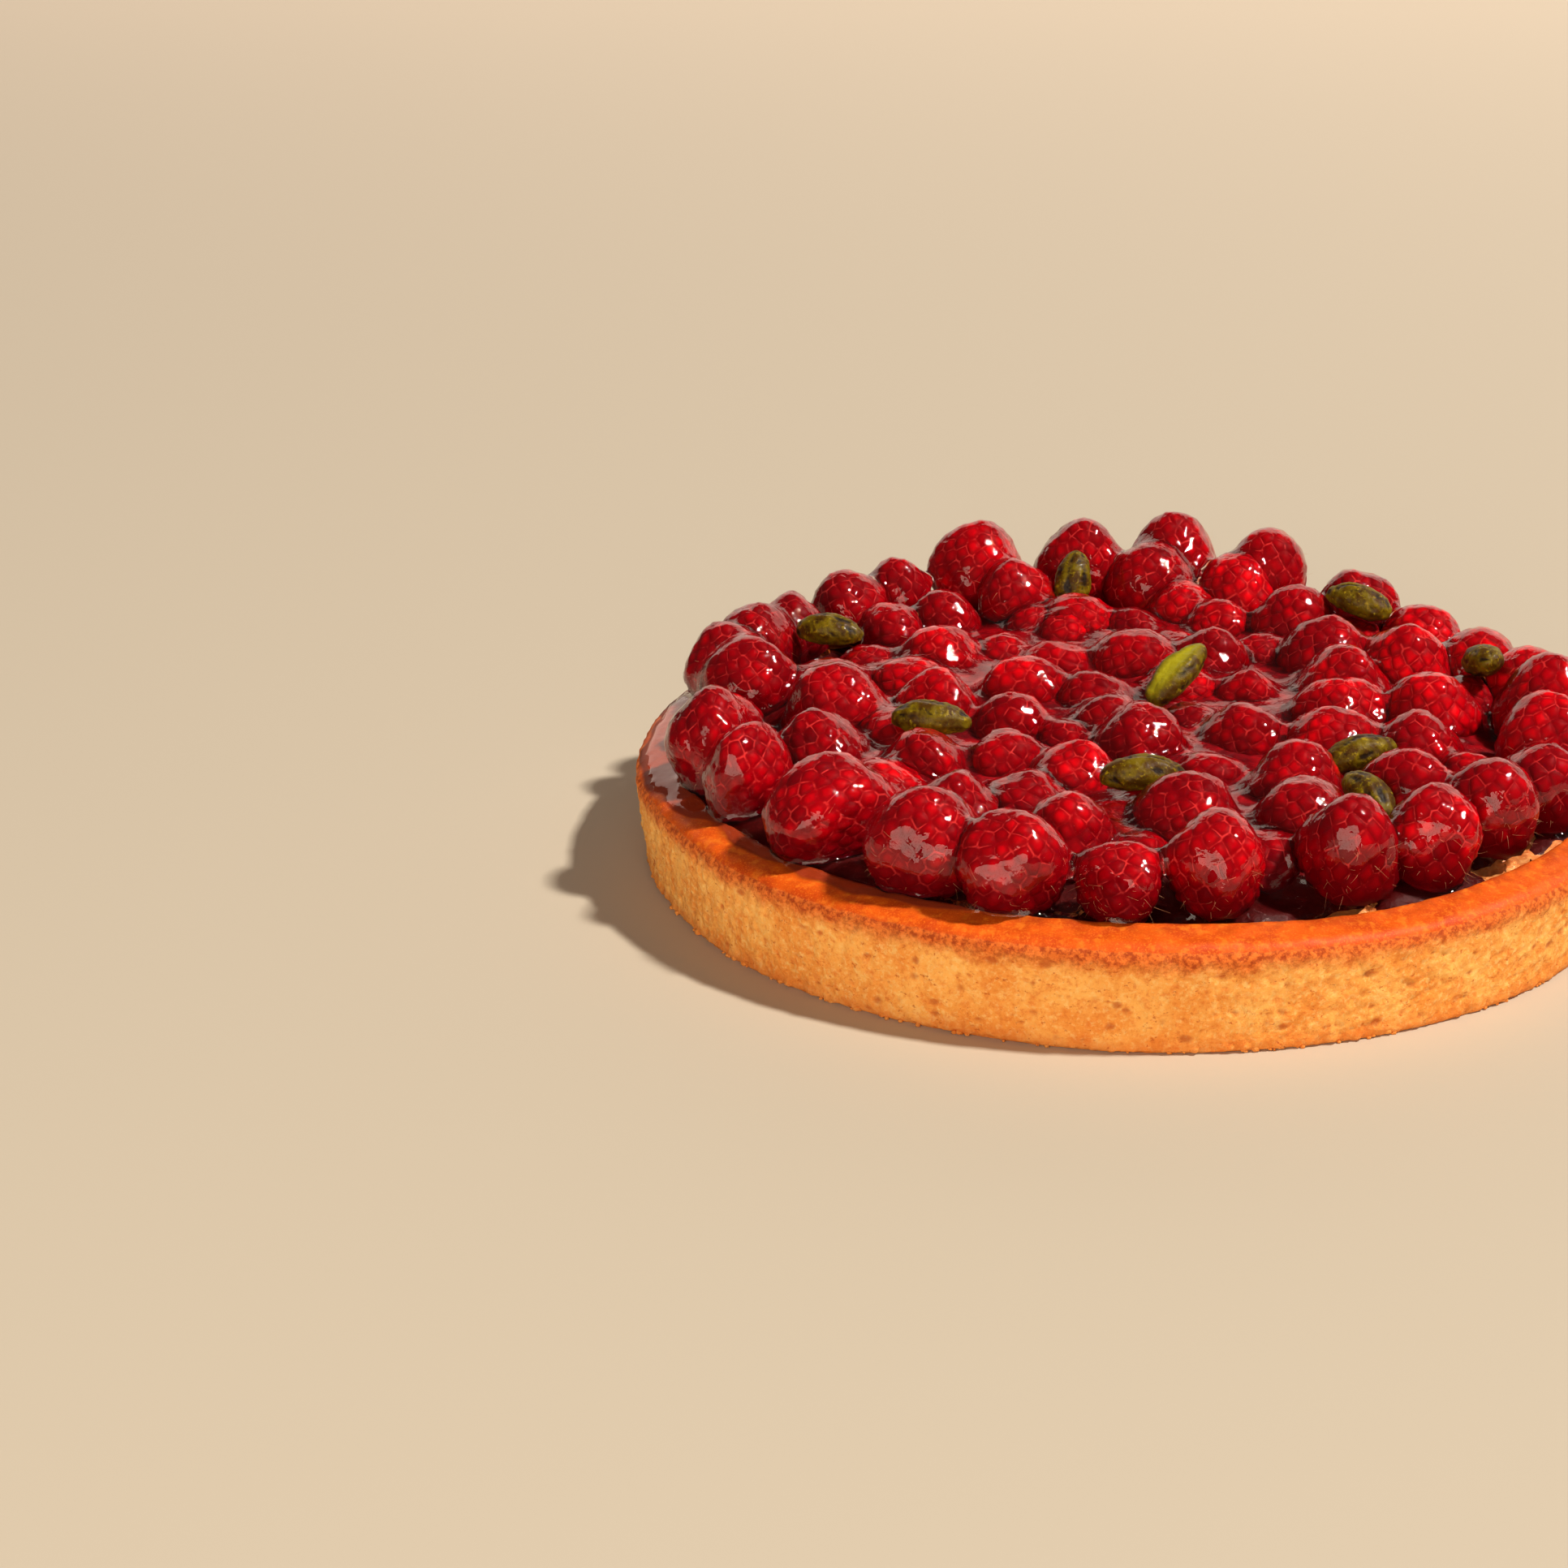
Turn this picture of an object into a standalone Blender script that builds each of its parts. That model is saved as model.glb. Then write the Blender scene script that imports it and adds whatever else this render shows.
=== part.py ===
"""A raspberry tart: a shortcrust shell, its filling, a heap of glazed raspberries and a few pistachios.

The origin is the middle of the flat underside. +Z is up, and the side shown in a picture faces -Y.
"""
import math
import random
from collections import namedtuple

import bpy
import bmesh
from mathutils import Matrix, Vector

MM = 0.001
GAP = 0.3

# Crust, in millimetres: a straight-sided shell, a little wider at the top than at the base
RIM_RADIUS = 110.0
BASE_RADIUS = 107.5
CRUST_HEIGHT = 25.0
WALL = 10.0
FLOOR = 8.0
BASE_EDGE = 1.4
SHOULDER = 4.0
RIM_SLOPE = 1.0
LIP = 1.0
SHOULDER_START = 22
SHOULDER_STEPS = 3
LIP_STEPS = 2
SIDE_STEPS = (0.0, 0.35, 0.7, 1.0)
CRUST_SIDES = 84
SIDE_WAVE = 0.55
RIM_WAVE = 0.45
SIDE_WAVES = (3, 15)
RIM_WAVES = (2, 11)
WAVE_WEIGHTS = (0.4, 1.0)
USUAL_PEAK = 0.55

# Filling: it ends below the lip of the crust
FILLING_BELOW_RIM = 4.0
FILLING_DOME = 0.4
CROWN_STEPS = (1.0, 0.93, 0.75, 0.4)
FILLING_SIDES = 48

# Heap of raspberries: those by the rim hang out over it, at RIM_LEAN outwards for each step up
CORE_RADIUS = 93.0
CORE_HEIGHT = 9.5
CORE_EDGE = 2.0
CORE_SLOPE = 12.0
CORE_SIDES = 40
BERRY_BUMP = 0.07
BERRY_TAPER = 0.10
BERRY_SINK = 0.4
BERRY_LEAN = 1.0
FOOT_POWER = 2.8
RIM_LEAN = 4.0
HEAP_ROOM_RADIUS = 116.0
HEAP_ROOM_HEIGHT = 60.0
SEED = 11

# Raspberries that the photo cuts off: a ring by the rim, then the free places inside it.
# Low ones fill the places that the raspberries in front hide.
UNSEEN_X = 31.0
RING_RADIUS = 91.0
RING_FROM = -68.0
RING_TO = 62.0
RING_COUNT = 10
RING_SPREAD = 2.0
RING_WIDTHS = (19.0, 22.0)
RING_HEIGHT_SHARES = (0.95, 1.2)
INNER_LIMIT = 80.0
CROWDING = 0.88
LARGE, SMALL = 20.5, 14.0
HEIGHT_SHARES = (0.95, 1.1)
DRAWS = 260
TRIES = 40
LOW_SHARE = 0.72

# Pistachios: blunt at one end, narrower at the other, bent a little, with a groove along the top
NUT_WIDTH = 9.1
NUT_DEPTH = 7.8
NUT_BLUNTNESS = 0.45
NUT_BUTT = 1.06
NUT_NARROWING = 0.16
NUT_BEND = 0.8
NUT_GROOVE = 0.84
NUT_RINGS = 8
NUT_SIDES = 8

SHARP_EDGE = math.radians(50)

Berry = namedtuple("Berry", "x y width height lift length heading", defaults=(0.0, None, 0.0))
Nut = namedtuple("Nut", "x y length heading tilt", defaults=(0.0,))

# Raspberries that show, by their place, width and height; some at the back lie a little higher
FRONT_EDGE = [
    Berry(-91, -9, 18, 16), Berry(-91, -31, 18.5, 25, 0, 23.5, 90),
    Berry(-80.5, -47, 18, 23, 0, 22, 240), Berry(-61.5, -67, 23, 23, 0, 29, 219),
    Berry(-41, -84, 24, 24.5), Berry(-23, -92, 22, 23),
    Berry(-2, -93.5, 19, 17.5), Berry(17, -89, 21, 23)]
SECOND_ROW = [
    Berry(-67, -30, 20, 20), Berry(-44, -35, 18, 18), Berry(-36, -61, 17, 18.5),
    Berry(-13, -73, 19.5, 19.5), Berry(11, -62, 21, 21)]
MIDDLE = [
    Berry(-66, -5, 23, 23), Berry(-44, 0, 19, 19), Berry(-27, -9, 17.5, 17.5), Berry(-27, -30, 17, 17),
    Berry(-16, -13, 14, 13), Berry(-12, -38, 18, 18), Berry(1, -18, 19.5, 19.5), Berry(-5, -4, 18.5, 16.5),
    Berry(16, -31, 15, 14), Berry(24, -10, 18, 17.5), Berry(12, 1, 13, 13.5), Berry(-9, 12, 17, 16),
    Berry(-25, 15, 18.5, 18.5), Berry(25, 19, 15, 15), Berry(-1, 35, 19.5, 19.5), Berry(16, 37, 18, 18.5),
    Berry(28, 47, 14, 14)]
FAR_ROWS = [
    Berry(-45.5, 36, 18, 18), Berry(-62, 34, 14, 13), Berry(-31, 44, 15, 14), Berry(-58, 56, 16, 16),
    Berry(-46, 63, 17, 18), Berry(-25, 64, 14, 13), Berry(-17.5, 57, 13, 14), Berry(-13.5, 65, 17.5, 17),
    Berry(-1, 62, 15, 14.5), Berry(10, 73, 15, 17, 1.5), Berry(18, 64, 17, 16.5)]
BACK_EDGE = [
    Berry(-87, 14, 21, 21), Berry(-93.5, 24.5, 19, 20.5), Berry(-88, 38, 19.5, 21.5),
    Berry(-81, 52, 17, 19), Berry(-69.5, 69.5, 20, 19.5), Berry(-57.5, 79.5, 16.5, 20.5),
    Berry(-40, 90, 23.5, 24, 2.5), Berry(-30, 75, 18, 19, 3.5), Berry(-15, 94, 22, 25, 1.5),
    Berry(2, 85, 20, 20.5, 3.5), Berry(8, 98, 20, 24, 4.5), Berry(23, 84, 19, 21, 1),
    Berry(31, 93, 20, 24, 3.5)]
SEEN = FRONT_EDGE + SECOND_ROW + MIDDLE + FAR_ROWS + BACK_EDGE

# Pistachios by place, length, heading and tilt in degrees; the last four are on the side cut off
NUTS = [
    Nut(-71, 38, 16.5, -14), Nut(-43.5, -24.5, 18, -8), Nut(-16, 78.5, 15, 80, 58),
    Nut(9, 13, 20.5, 50, 28), Nut(2, -50.5, 18.5, 10), Nut(47.5, -29, 17, 20, 12),
    Nut(51, 62, 16.5, 160, 12), Nut(76.5, 20.5, 17, 100, -24), Nut(48, -54, 16.5, 120, 15)]

# Plain colours and roughness of the solids
CRUST_PAINT = ("crust", (0.78, 0.36, 0.10), 0.75)
FILLING_PAINT = ("filling", (0.72, 0.34, 0.10), 0.55)
RASPBERRY_PAINT = ("raspberry", (0.42, 0.008, 0.015), 0.18)
PISTACHIO_PAINT = ("pistachio", (0.20, 0.16, 0.02), 0.4)

# Heights that follow
FILLING_TOP = CRUST_HEIGHT - FILLING_BELOW_RIM
BERRY_BASE = FILLING_TOP + FILLING_DOME + GAP
INNER_RADIUS = RIM_RADIUS - WALL


def clear_scene():
    for item in list(bpy.data.objects):
        bpy.data.objects.remove(item, do_unlink=True)


def material(name, colour, roughness):
    made = bpy.data.materials.new(name)
    made.use_nodes = True
    shader = made.node_tree.nodes["Principled BSDF"]
    shader.inputs["Base Color"].default_value = (*colour, 1.0)
    shader.inputs["Roughness"].default_value = roughness
    shader.inputs["Metallic"].default_value = 0.0
    return made


def waves(seed, lowest, highest):
    """An uneven, smooth function of the angle round the tart, between about -1 and 1."""
    rng = random.Random(seed)
    parts = [(k, rng.uniform(0, math.tau), rng.uniform(*WAVE_WEIGHTS)) for k in range(lowest, highest)]
    total = sum(weight for _, _, weight in parts)

    def value(angle):
        return sum(w * math.cos(k * angle + phase) for k, phase, w in parts) / total / USUAL_PEAK
    return value


def corner(centre_r, centre_z, radius, start, end, steps):
    """Points of an arc in the profile plane, angles in degrees from the outward direction."""
    angles = [math.radians(start + (end - start) * k / steps) for k in range(steps + 1)]
    return [(centre_r + radius * math.cos(a), centre_z + radius * math.sin(a)) for a in angles]


def lathe(name, profile, sides, shift=None):
    """Turn a profile round Z; it runs from the axis below, outwards and up, to the axis above."""
    mesh_maker = bmesh.new()
    rings = []
    for radius, height in profile:
        if radius == 0:
            rings.append([mesh_maker.verts.new((0, 0, height * MM))])
            continue
        ring = []
        for k in range(sides):
            angle = math.tau * k / sides
            extra_r, extra_z = shift(radius, height, angle) if shift else (0.0, 0.0)
            reach = (radius + extra_r) * MM
            place = (reach * math.cos(angle), reach * math.sin(angle), (height + extra_z) * MM)
            ring.append(mesh_maker.verts.new(place))
        rings.append(ring)
    for low, high in zip(rings, rings[1:]):
        for k in range(sides):
            after = (k + 1) % sides
            if len(low) == 1:
                mesh_maker.faces.new((low[0], high[after], high[k]))
            elif len(high) == 1:
                mesh_maker.faces.new((low[k], low[after], high[0]))
            else:
                mesh_maker.faces.new((low[k], low[after], high[after], high[k]))
    return finish_mesh(name, mesh_maker)


def finish_mesh(name, mesh_maker):
    bmesh.ops.triangulate(mesh_maker, faces=mesh_maker.faces[:])
    bmesh.ops.recalc_face_normals(mesh_maker, faces=mesh_maker.faces[:])
    mesh = bpy.data.meshes.new(name)
    mesh_maker.to_mesh(mesh)
    mesh_maker.free()
    return mesh


def place_mesh(name, mesh, look):
    item = bpy.data.objects.new(name, mesh)
    bpy.context.scene.collection.objects.link(item)
    mesh.materials.clear()
    mesh.materials.append(look)
    mesh.shade_smooth()
    mesh.set_sharp_from_angle(angle=SHARP_EDGE)
    return item


def crust(look):
    """The shell: floor, wall with a rounded shoulder, and a rim that rises a little to its lip."""
    shoulder_z = CRUST_HEIGHT - RIM_SLOPE - SHOULDER
    side = [(BASE_RADIUS + (RIM_RADIUS - BASE_RADIUS) * t, BASE_EDGE + (shoulder_z - BASE_EDGE) * t)
            for t in SIDE_STEPS]
    shoulder = corner(RIM_RADIUS - SHOULDER, shoulder_z, SHOULDER, SHOULDER_START, 90, SHOULDER_STEPS)
    lip = corner(INNER_RADIUS + LIP, CRUST_HEIGHT - LIP, LIP, 90, 180, LIP_STEPS)
    profile = [(0, 0), (BASE_RADIUS - BASE_EDGE, 0)] + side + shoulder + lip
    profile += [(INNER_RADIUS, FLOOR), (0, FLOOR)]
    side_wave = waves(SEED, *SIDE_WAVES)
    rim_wave = waves(SEED + 1, *RIM_WAVES)

    def shift(radius, height, angle):
        if height <= 0 or radius <= INNER_RADIUS:
            return 0.0, 0.0
        rise = height / CRUST_HEIGHT
        outward = SIDE_WAVE * side_wave(angle) if radius > INNER_RADIUS + LIP else 0.0
        return outward, RIM_WAVE * rise * rise * rim_wave(angle)
    return place_mesh("crust", lathe("crust", profile, CRUST_SIDES, shift), look)


def filling(look):
    """The baked filling, a disc that crowns slightly towards its middle."""
    outer = INNER_RADIUS - GAP
    crown = [(outer * t, FILLING_TOP + FILLING_DOME * (1 - t * t)) for t in CROWN_STEPS]
    profile = [(0, FLOOR + GAP), (outer, FLOOR + GAP)] + crown + [(0, FILLING_TOP + FILLING_DOME)]
    return place_mesh("filling", lathe("filling", profile, FILLING_SIDES), look)


def foot_share(depth):
    """Half width of a raspberry at a depth below its middle: it stands on its blunt, open end."""
    return max(0.0, 1 - depth ** FOOT_POWER) ** (1 / FOOT_POWER)


def clearance(x, y, width, berries):
    """Free room between a raspberry at x, y and its nearest neighbour, squeezed a little."""
    return min(math.hypot(x - b.x, y - b.y) - CROWDING * (width + b.width) / 2 for b in berries)


def fill(berries, rng, allowed, height_share):
    """Add raspberries in the free places, large ones first, each as close to the rest as it goes."""
    for draw in range(DRAWS):
        width = LARGE - (LARGE - SMALL) * draw / DRAWS
        best = None
        for _ in range(TRIES):
            x, y = (rng.uniform(-INNER_LIMIT, INNER_LIMIT) for _ in "xy")
            if math.hypot(x, y) > INNER_LIMIT or not allowed(x):
                continue
            room = clearance(x, y, width, berries)
            if room >= 0 and (best is None or room < best[0]):
                best = (room, x, y)
        if best:
            height = width * height_share * rng.uniform(*HEIGHT_SHARES)
            berries.append(Berry(best[1], best[2], width, height))


def all_berries():
    rng = random.Random(SEED)
    berries = list(SEEN)
    for k in range(RING_COUNT):
        angle = math.radians(RING_FROM + (RING_TO - RING_FROM) * (k + 0.5) / RING_COUNT)
        radius = RING_RADIUS + rng.uniform(-RING_SPREAD, RING_SPREAD)
        width = rng.uniform(*RING_WIDTHS)
        height = width * rng.uniform(*RING_HEIGHT_SHARES)
        berries.append(Berry(radius * math.cos(angle), radius * math.sin(angle), width, height))
    fill(berries, rng, lambda x: x >= UNSEEN_X, 1.0)
    fill(berries, rng, lambda x: x < UNSEEN_X, LOW_SHARE)
    return berries


def berry_piece(name, berry, rng):
    """One raspberry with few sides: knobbly, narrower at the top, standing on the filling."""
    mesh_maker = bmesh.new()
    bmesh.ops.create_icosphere(mesh_maker, subdivisions=2, radius=1.0)
    spin, lean = rng.uniform(0, math.tau), rng.uniform(0, BERRY_LEAN)
    turn = Matrix.Rotation(spin, 3, "Z") @ Matrix.Rotation(lean, 3, "X")
    half = Vector(((berry.length or berry.width) / 2, berry.width / 2, berry.height / 2))
    heading = Matrix.Rotation(math.radians(berry.heading), 3, "Z")
    middle = Vector((berry.x, berry.y, BERRY_BASE + berry.lift + berry.height / 2))
    lowest = BERRY_BASE + BERRY_SINK
    for vert in mesh_maker.verts:
        point = turn @ vert.co
        depth = max(0.0, -point.z)
        narrow = foot_share(depth) / math.sqrt(1 - depth * depth) if 0 < depth < 1 else 1.0
        narrow *= (1 - BERRY_TAPER * max(0.0, point.z)) * (1 - BERRY_BUMP * rng.random())
        point = Vector((point.x * half.x * narrow, point.y * half.y * narrow, point.z * half.z))
        point = middle + heading @ point
        point.z = max(point.z, lowest)
        vert.co = point * MM
    mesh = finish_mesh(name, mesh_maker)
    item = bpy.data.objects.new(name, mesh)
    item.hide_render = True
    item.display_type = "WIRE"
    return item


def core(look):
    """The packed middle of the heap, hidden under the raspberries except in the gaps between them."""
    top = BERRY_BASE + CORE_HEIGHT
    profile = [(0, BERRY_BASE), (CORE_RADIUS - CORE_EDGE, BERRY_BASE), (CORE_RADIUS, BERRY_BASE + CORE_EDGE),
               (CORE_RADIUS - CORE_EDGE, top - CORE_EDGE), (CORE_RADIUS - CORE_SLOPE, top), (0, top)]
    return place_mesh("raspberries", lathe("raspberries", profile, CORE_SIDES), look)


def heap_room():
    """The room that the heap may fill: inside the wall of the crust, and wider above its lip."""
    inner = INNER_RADIUS - GAP
    over_lip = CRUST_HEIGHT + RIM_WAVE + GAP
    outer_z = over_lip + (HEAP_ROOM_RADIUS - inner) / RIM_LEAN
    profile = [(0, FLOOR), (inner, FLOOR), (inner, over_lip), (HEAP_ROOM_RADIUS, outer_z),
               (HEAP_ROOM_RADIUS, HEAP_ROOM_HEIGHT), (0, HEAP_ROOM_HEIGHT)]
    return bpy.data.objects.new("heap_room", lathe("heap_room", profile, CRUST_SIDES))


def raspberries(berries, look):
    """The heap: every raspberry fused on to the core, and kept clear of the crust."""
    heap = core(look)
    pieces = bpy.data.collections.new("berry pieces")
    bpy.context.scene.collection.children.link(pieces)
    for number, berry in enumerate(berries):
        pieces.objects.link(berry_piece(f"berry_{number}", berry, random.Random(SEED + number)))
    union = heap.modifiers.new("fuse", "BOOLEAN")
    union.operation = "UNION"
    union.operand_type = "COLLECTION"
    union.collection = pieces
    union.solver = "EXACT"
    room = heap_room()
    room.hide_render = True
    bpy.context.scene.collection.objects.link(room)
    trim = heap.modifiers.new("trim", "BOOLEAN")
    trim.operation = "INTERSECT"
    trim.object = room
    trim.solver = "EXACT"
    graph = bpy.context.evaluated_depsgraph_get()
    fused = bpy.data.meshes.new_from_object(heap.evaluated_get(graph))
    heap.modifiers.clear()
    heap.data = fused
    for item in list(pieces.objects) + [room]:
        bpy.data.objects.remove(item, do_unlink=True)
    bpy.data.collections.remove(pieces)
    fused.materials.clear()
    fused.materials.append(look)
    fused.shade_smooth()
    fused.set_sharp_from_angle(angle=SHARP_EDGE)
    return heap


def heap_height(x, y, berries):
    """Height of the top of the heap over x, y."""
    top = BERRY_BASE + CORE_HEIGHT
    for berry in berries:
        reach = (berry.length or berry.width) / 2
        off = math.hypot(x - berry.x, y - berry.y) / reach
        if off < 1:
            half = berry.height / 2
            top = max(top, BERRY_BASE + berry.lift + half * (1 + math.sqrt(1 - off * off)))
    return top


def nut_points(length):
    """A shelled pistachio along X: pointed in front, blunt behind, with a groove along the top."""
    points = []
    for ring in range(1, NUT_RINGS):
        t = ring / NUT_RINGS
        girth = math.sin(math.pi * t) ** NUT_BLUNTNESS * (NUT_BUTT - NUT_NARROWING * t)
        bend = NUT_BEND * math.sin(math.pi * t)
        for k in range(NUT_SIDES):
            angle = math.tau * k / NUT_SIDES
            groove = NUT_GROOVE if k == NUT_SIDES // 4 else 1.0
            points.append((length * (t - 0.5), NUT_WIDTH / 2 * girth * math.cos(angle),
                           bend + NUT_DEPTH / 2 * girth * groove * math.sin(angle)))
    return [(-length / 2, 0, 0)] + points + [(length / 2, 0, 0)]


def pistachio(number, nut, berries, look):
    """A pistachio let down on to the heap until it almost touches."""
    turn = Matrix.Rotation(math.radians(nut.heading), 3, "Z") @ Matrix.Rotation(
        math.radians(-nut.tilt), 3, "Y")
    places = [turn @ Vector(point) for point in nut_points(nut.length)]
    rest = max(heap_height(nut.x + p.x, nut.y + p.y, berries) - p.z for p in places) + GAP
    middle = Vector((nut.x, nut.y, rest))
    mesh_maker = bmesh.new()
    verts = [mesh_maker.verts.new((middle + p) * MM) for p in places]
    rings = [verts[1 + k * NUT_SIDES:1 + (k + 1) * NUT_SIDES] for k in range(NUT_RINGS - 1)]
    for k in range(NUT_SIDES):
        after = (k + 1) % NUT_SIDES
        mesh_maker.faces.new((verts[0], rings[0][k], rings[0][after]))
        mesh_maker.faces.new((rings[-1][k], verts[-1], rings[-1][after]))
        for low, high in zip(rings, rings[1:]):
            mesh_maker.faces.new((low[k], high[k], high[after], low[after]))
    return place_mesh(f"pistachio_{number}", finish_mesh("pistachio", mesh_maker), look)


def main():
    clear_scene()
    berries = all_berries()
    crust(material(*CRUST_PAINT))
    filling(material(*FILLING_PAINT))
    raspberries(berries, material(*RASPBERRY_PAINT))
    nut_look = material(*PISTACHIO_PAINT)
    for number, nut in enumerate(NUTS, start=1):
        pistachio(number, nut, berries, nut_look)


main()
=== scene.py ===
"""The looks of the raspberry tart: baked crust, filling, glazed raspberries and pistachios.

Lengths are in millimetres and become metres only when a mesh is made.
"""
import math
import random
from collections import namedtuple
from contextlib import contextmanager

import bmesh
import bpy
import numpy as np
from mathutils import Matrix, Vector


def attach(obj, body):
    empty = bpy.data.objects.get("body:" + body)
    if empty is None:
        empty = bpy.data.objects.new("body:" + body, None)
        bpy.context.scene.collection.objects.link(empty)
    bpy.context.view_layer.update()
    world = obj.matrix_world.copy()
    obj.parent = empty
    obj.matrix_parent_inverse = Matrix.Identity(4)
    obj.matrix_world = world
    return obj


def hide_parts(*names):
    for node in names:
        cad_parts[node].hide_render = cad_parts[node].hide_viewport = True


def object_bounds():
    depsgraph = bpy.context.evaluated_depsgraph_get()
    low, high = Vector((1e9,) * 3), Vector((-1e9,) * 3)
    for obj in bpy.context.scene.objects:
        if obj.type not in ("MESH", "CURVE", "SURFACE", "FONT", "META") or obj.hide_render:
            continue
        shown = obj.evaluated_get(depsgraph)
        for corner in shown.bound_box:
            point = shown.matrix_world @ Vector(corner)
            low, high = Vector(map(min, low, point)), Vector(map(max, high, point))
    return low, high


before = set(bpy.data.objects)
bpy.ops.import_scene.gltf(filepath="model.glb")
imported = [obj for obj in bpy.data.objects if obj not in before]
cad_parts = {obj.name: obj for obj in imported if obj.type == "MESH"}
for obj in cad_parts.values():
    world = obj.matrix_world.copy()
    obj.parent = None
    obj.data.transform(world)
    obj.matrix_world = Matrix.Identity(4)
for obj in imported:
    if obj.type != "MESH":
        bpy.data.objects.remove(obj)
cad_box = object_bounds()

MM = 0.001
SEED = 11
GAP = 0.3
TOP = cad_box[1][2] / MM

# Sizes of the solids, as the part has them
RIM_RADIUS = 110.0
BASE_RADIUS = 107.5
CRUST_HEIGHT = 25.0
WALL = 10.0
FLOOR = 8.0
BASE_EDGE = 1.4
SHOULDER = 4.0
RIM_SLOPE = 1.0
LIP = 1.0
SIDE_WAVE = 0.55
RIM_WAVE = 0.45
SIDE_WAVES = (3, 15)
RIM_WAVES = (2, 11)
WAVE_WEIGHTS = (0.4, 1.0)
USUAL_PEAK = 0.55
FILLING_BELOW_RIM = 4.0
FILLING_DOME = 0.4
CORE_HEIGHT = 9.5
BERRY_TAPER = 0.10
FOOT_POWER = 2.8
RIM_LEAN = 4.0
UNSEEN_X = 31.0
RING_RADIUS = 91.0
RING_FROM = -68.0
RING_TO = 62.0
RING_COUNT = 10
RING_SPREAD = 2.0
RING_WIDTHS = (19.0, 22.0)
RING_HEIGHT_SHARES = (0.95, 1.2)
INNER_LIMIT = 80.0
CROWDING = 0.88
LARGE, SMALL = 20.5, 14.0
HEIGHT_SHARES = (0.95, 1.1)
DRAWS = 260
TRIES = 40
LOW_SHARE = 0.72
NUT_WIDTH = 9.1
NUT_DEPTH = 7.8
NUT_BLUNTNESS = 0.45
NUT_BUTT = 1.06
NUT_NARROWING = 0.16
NUT_BEND = 0.8
NUT_GROOVE = 0.84
NUT_RINGS = 8
NUT_SIDES = 8
FILLING_TOP = CRUST_HEIGHT - FILLING_BELOW_RIM
BERRY_BASE = FILLING_TOP + FILLING_DOME + GAP
INNER_RADIUS = RIM_RADIUS - WALL

# Crust: points round and along its outline, then its crumb (size, seed and height), pits and crumbs
CRUST_STEPS = 1150
OUTLINE_STEP = 0.55
UNDERSIDE = 8.0
BELOW_FILLING = 3.0
CRUMB_RELIEF = ((1.9, 1, 0.14), (4.0, 2, 0.12), (1.1, 3, 0.09))
TOP_RELIEF = 0.10
RELIEF_SINK = 0.25
FOOT_LUMPS = 0.38
PIT_COUNT = 900
PIT_ZONE = (1.0, 22.5)
PIT_SIZES = (0.5, 0.6, 0.8, 0.8, 1.1, 1.5)
PIT_DEPTHS = (0.1, 0.42)
PIT_WIDTHS = (1.0, 1.9)
CRUMB_COUNT = 200
CRUMB_SIZES = (0.35, 0.45, 0.55, 0.7, 1.0)

# Raspberries: their drupelets, their uneven swelling, the pulp under them and their hairs
DRUPELET = 3.9
DRUPELET_BUMP = 0.55
DRUPELET_SINK = 0.25
DRUPELET_SWELLING = 0.12
DRUPELET_UNREST = 0.28
DRUPELET_TINT = 0.1
BERRY_TINTS = (0.25, 0.7)
LUMP = 0.065
LUMP_SIZE = 1.35
LUMP_SINK = 0.6
PULP_RADIUS = 98.6
PULP_BELOW_GLAZE = 1.4
HAIR_COUNT = 1300
HAIR_LENGTHS = (0.7, 2.1)
HAIR_THICKNESS = 0.035
HAIR_STEPS = 4
HAIR_SIDES = 3

# Drupelet detail: points on each side of a cell, rings inside it, and how low on the berry they go
NEAR_DETAIL = (2, (0.4, 0.72, 0.9), -0.85)
MIDDLE_DETAIL = (2, (0.5, 0.87), -0.35)
FAR_DETAIL = (1, (0.5, 0.87), -0.35)

# Glaze: a film on the raspberries, a pool between them, and a film on the rim round WET_MIDDLE degrees
FILM = 0.3
FILM_RELIEF = 0.45
FILM_REACH = 7.0
FILM_BARE = 1.4
FILM_LOW = 33.0
FILM_LOWER_WHERE_WET = 7.0
WET_MIDDLE = 195.0
RIM_FILMS = ((5.0, WET_MIDDLE, 72, 42), (5.0, 184.0, 27, 17))
GLAZE_RADIUS = 109.6
GLAZE_FLOOR = FILLING_TOP - 1.2
GLAZE_ROOM = 54.0
GLAZE_STEP = 1.15
GLAZE_BLEND = 2.2
POOL_HEIGHT = 9.0
POOL_BY_RIM = 23.4
POOL_SLOPE = (90, 66)
WET_RISE = 1.9
BARE_DROP = 4.0
BARE_ZONE = (88, 93)

# Pistachios: points along and round them, then the width and depth of the groove, also of the split one
FINE_NUT_RINGS = 48
FINE_NUT_SIDES = 44
SEAM = (0.16, 0.07)
SPLIT = (0.5, 0.30)
SPLIT_NUT = 4

# Camera and stage, in metres and degrees
CAMERA_DISTANCE = 0.8197
CAMERA_ELEVATION = 21.826
CAMERA_PITCH = 20.888
CAMERA_YAW = 5.8375
LENS = 83.85
SENSOR = 36.0
LIT_MIDDLE = (0, 0, 0.03)
FLOOR_RADIUS = 6.0

Berry = namedtuple("Berry", "x y width height lift length heading", defaults=(0.0, None, 0.0))
Nut = namedtuple("Nut", "x y length heading tilt", defaults=(0.0,))

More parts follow.
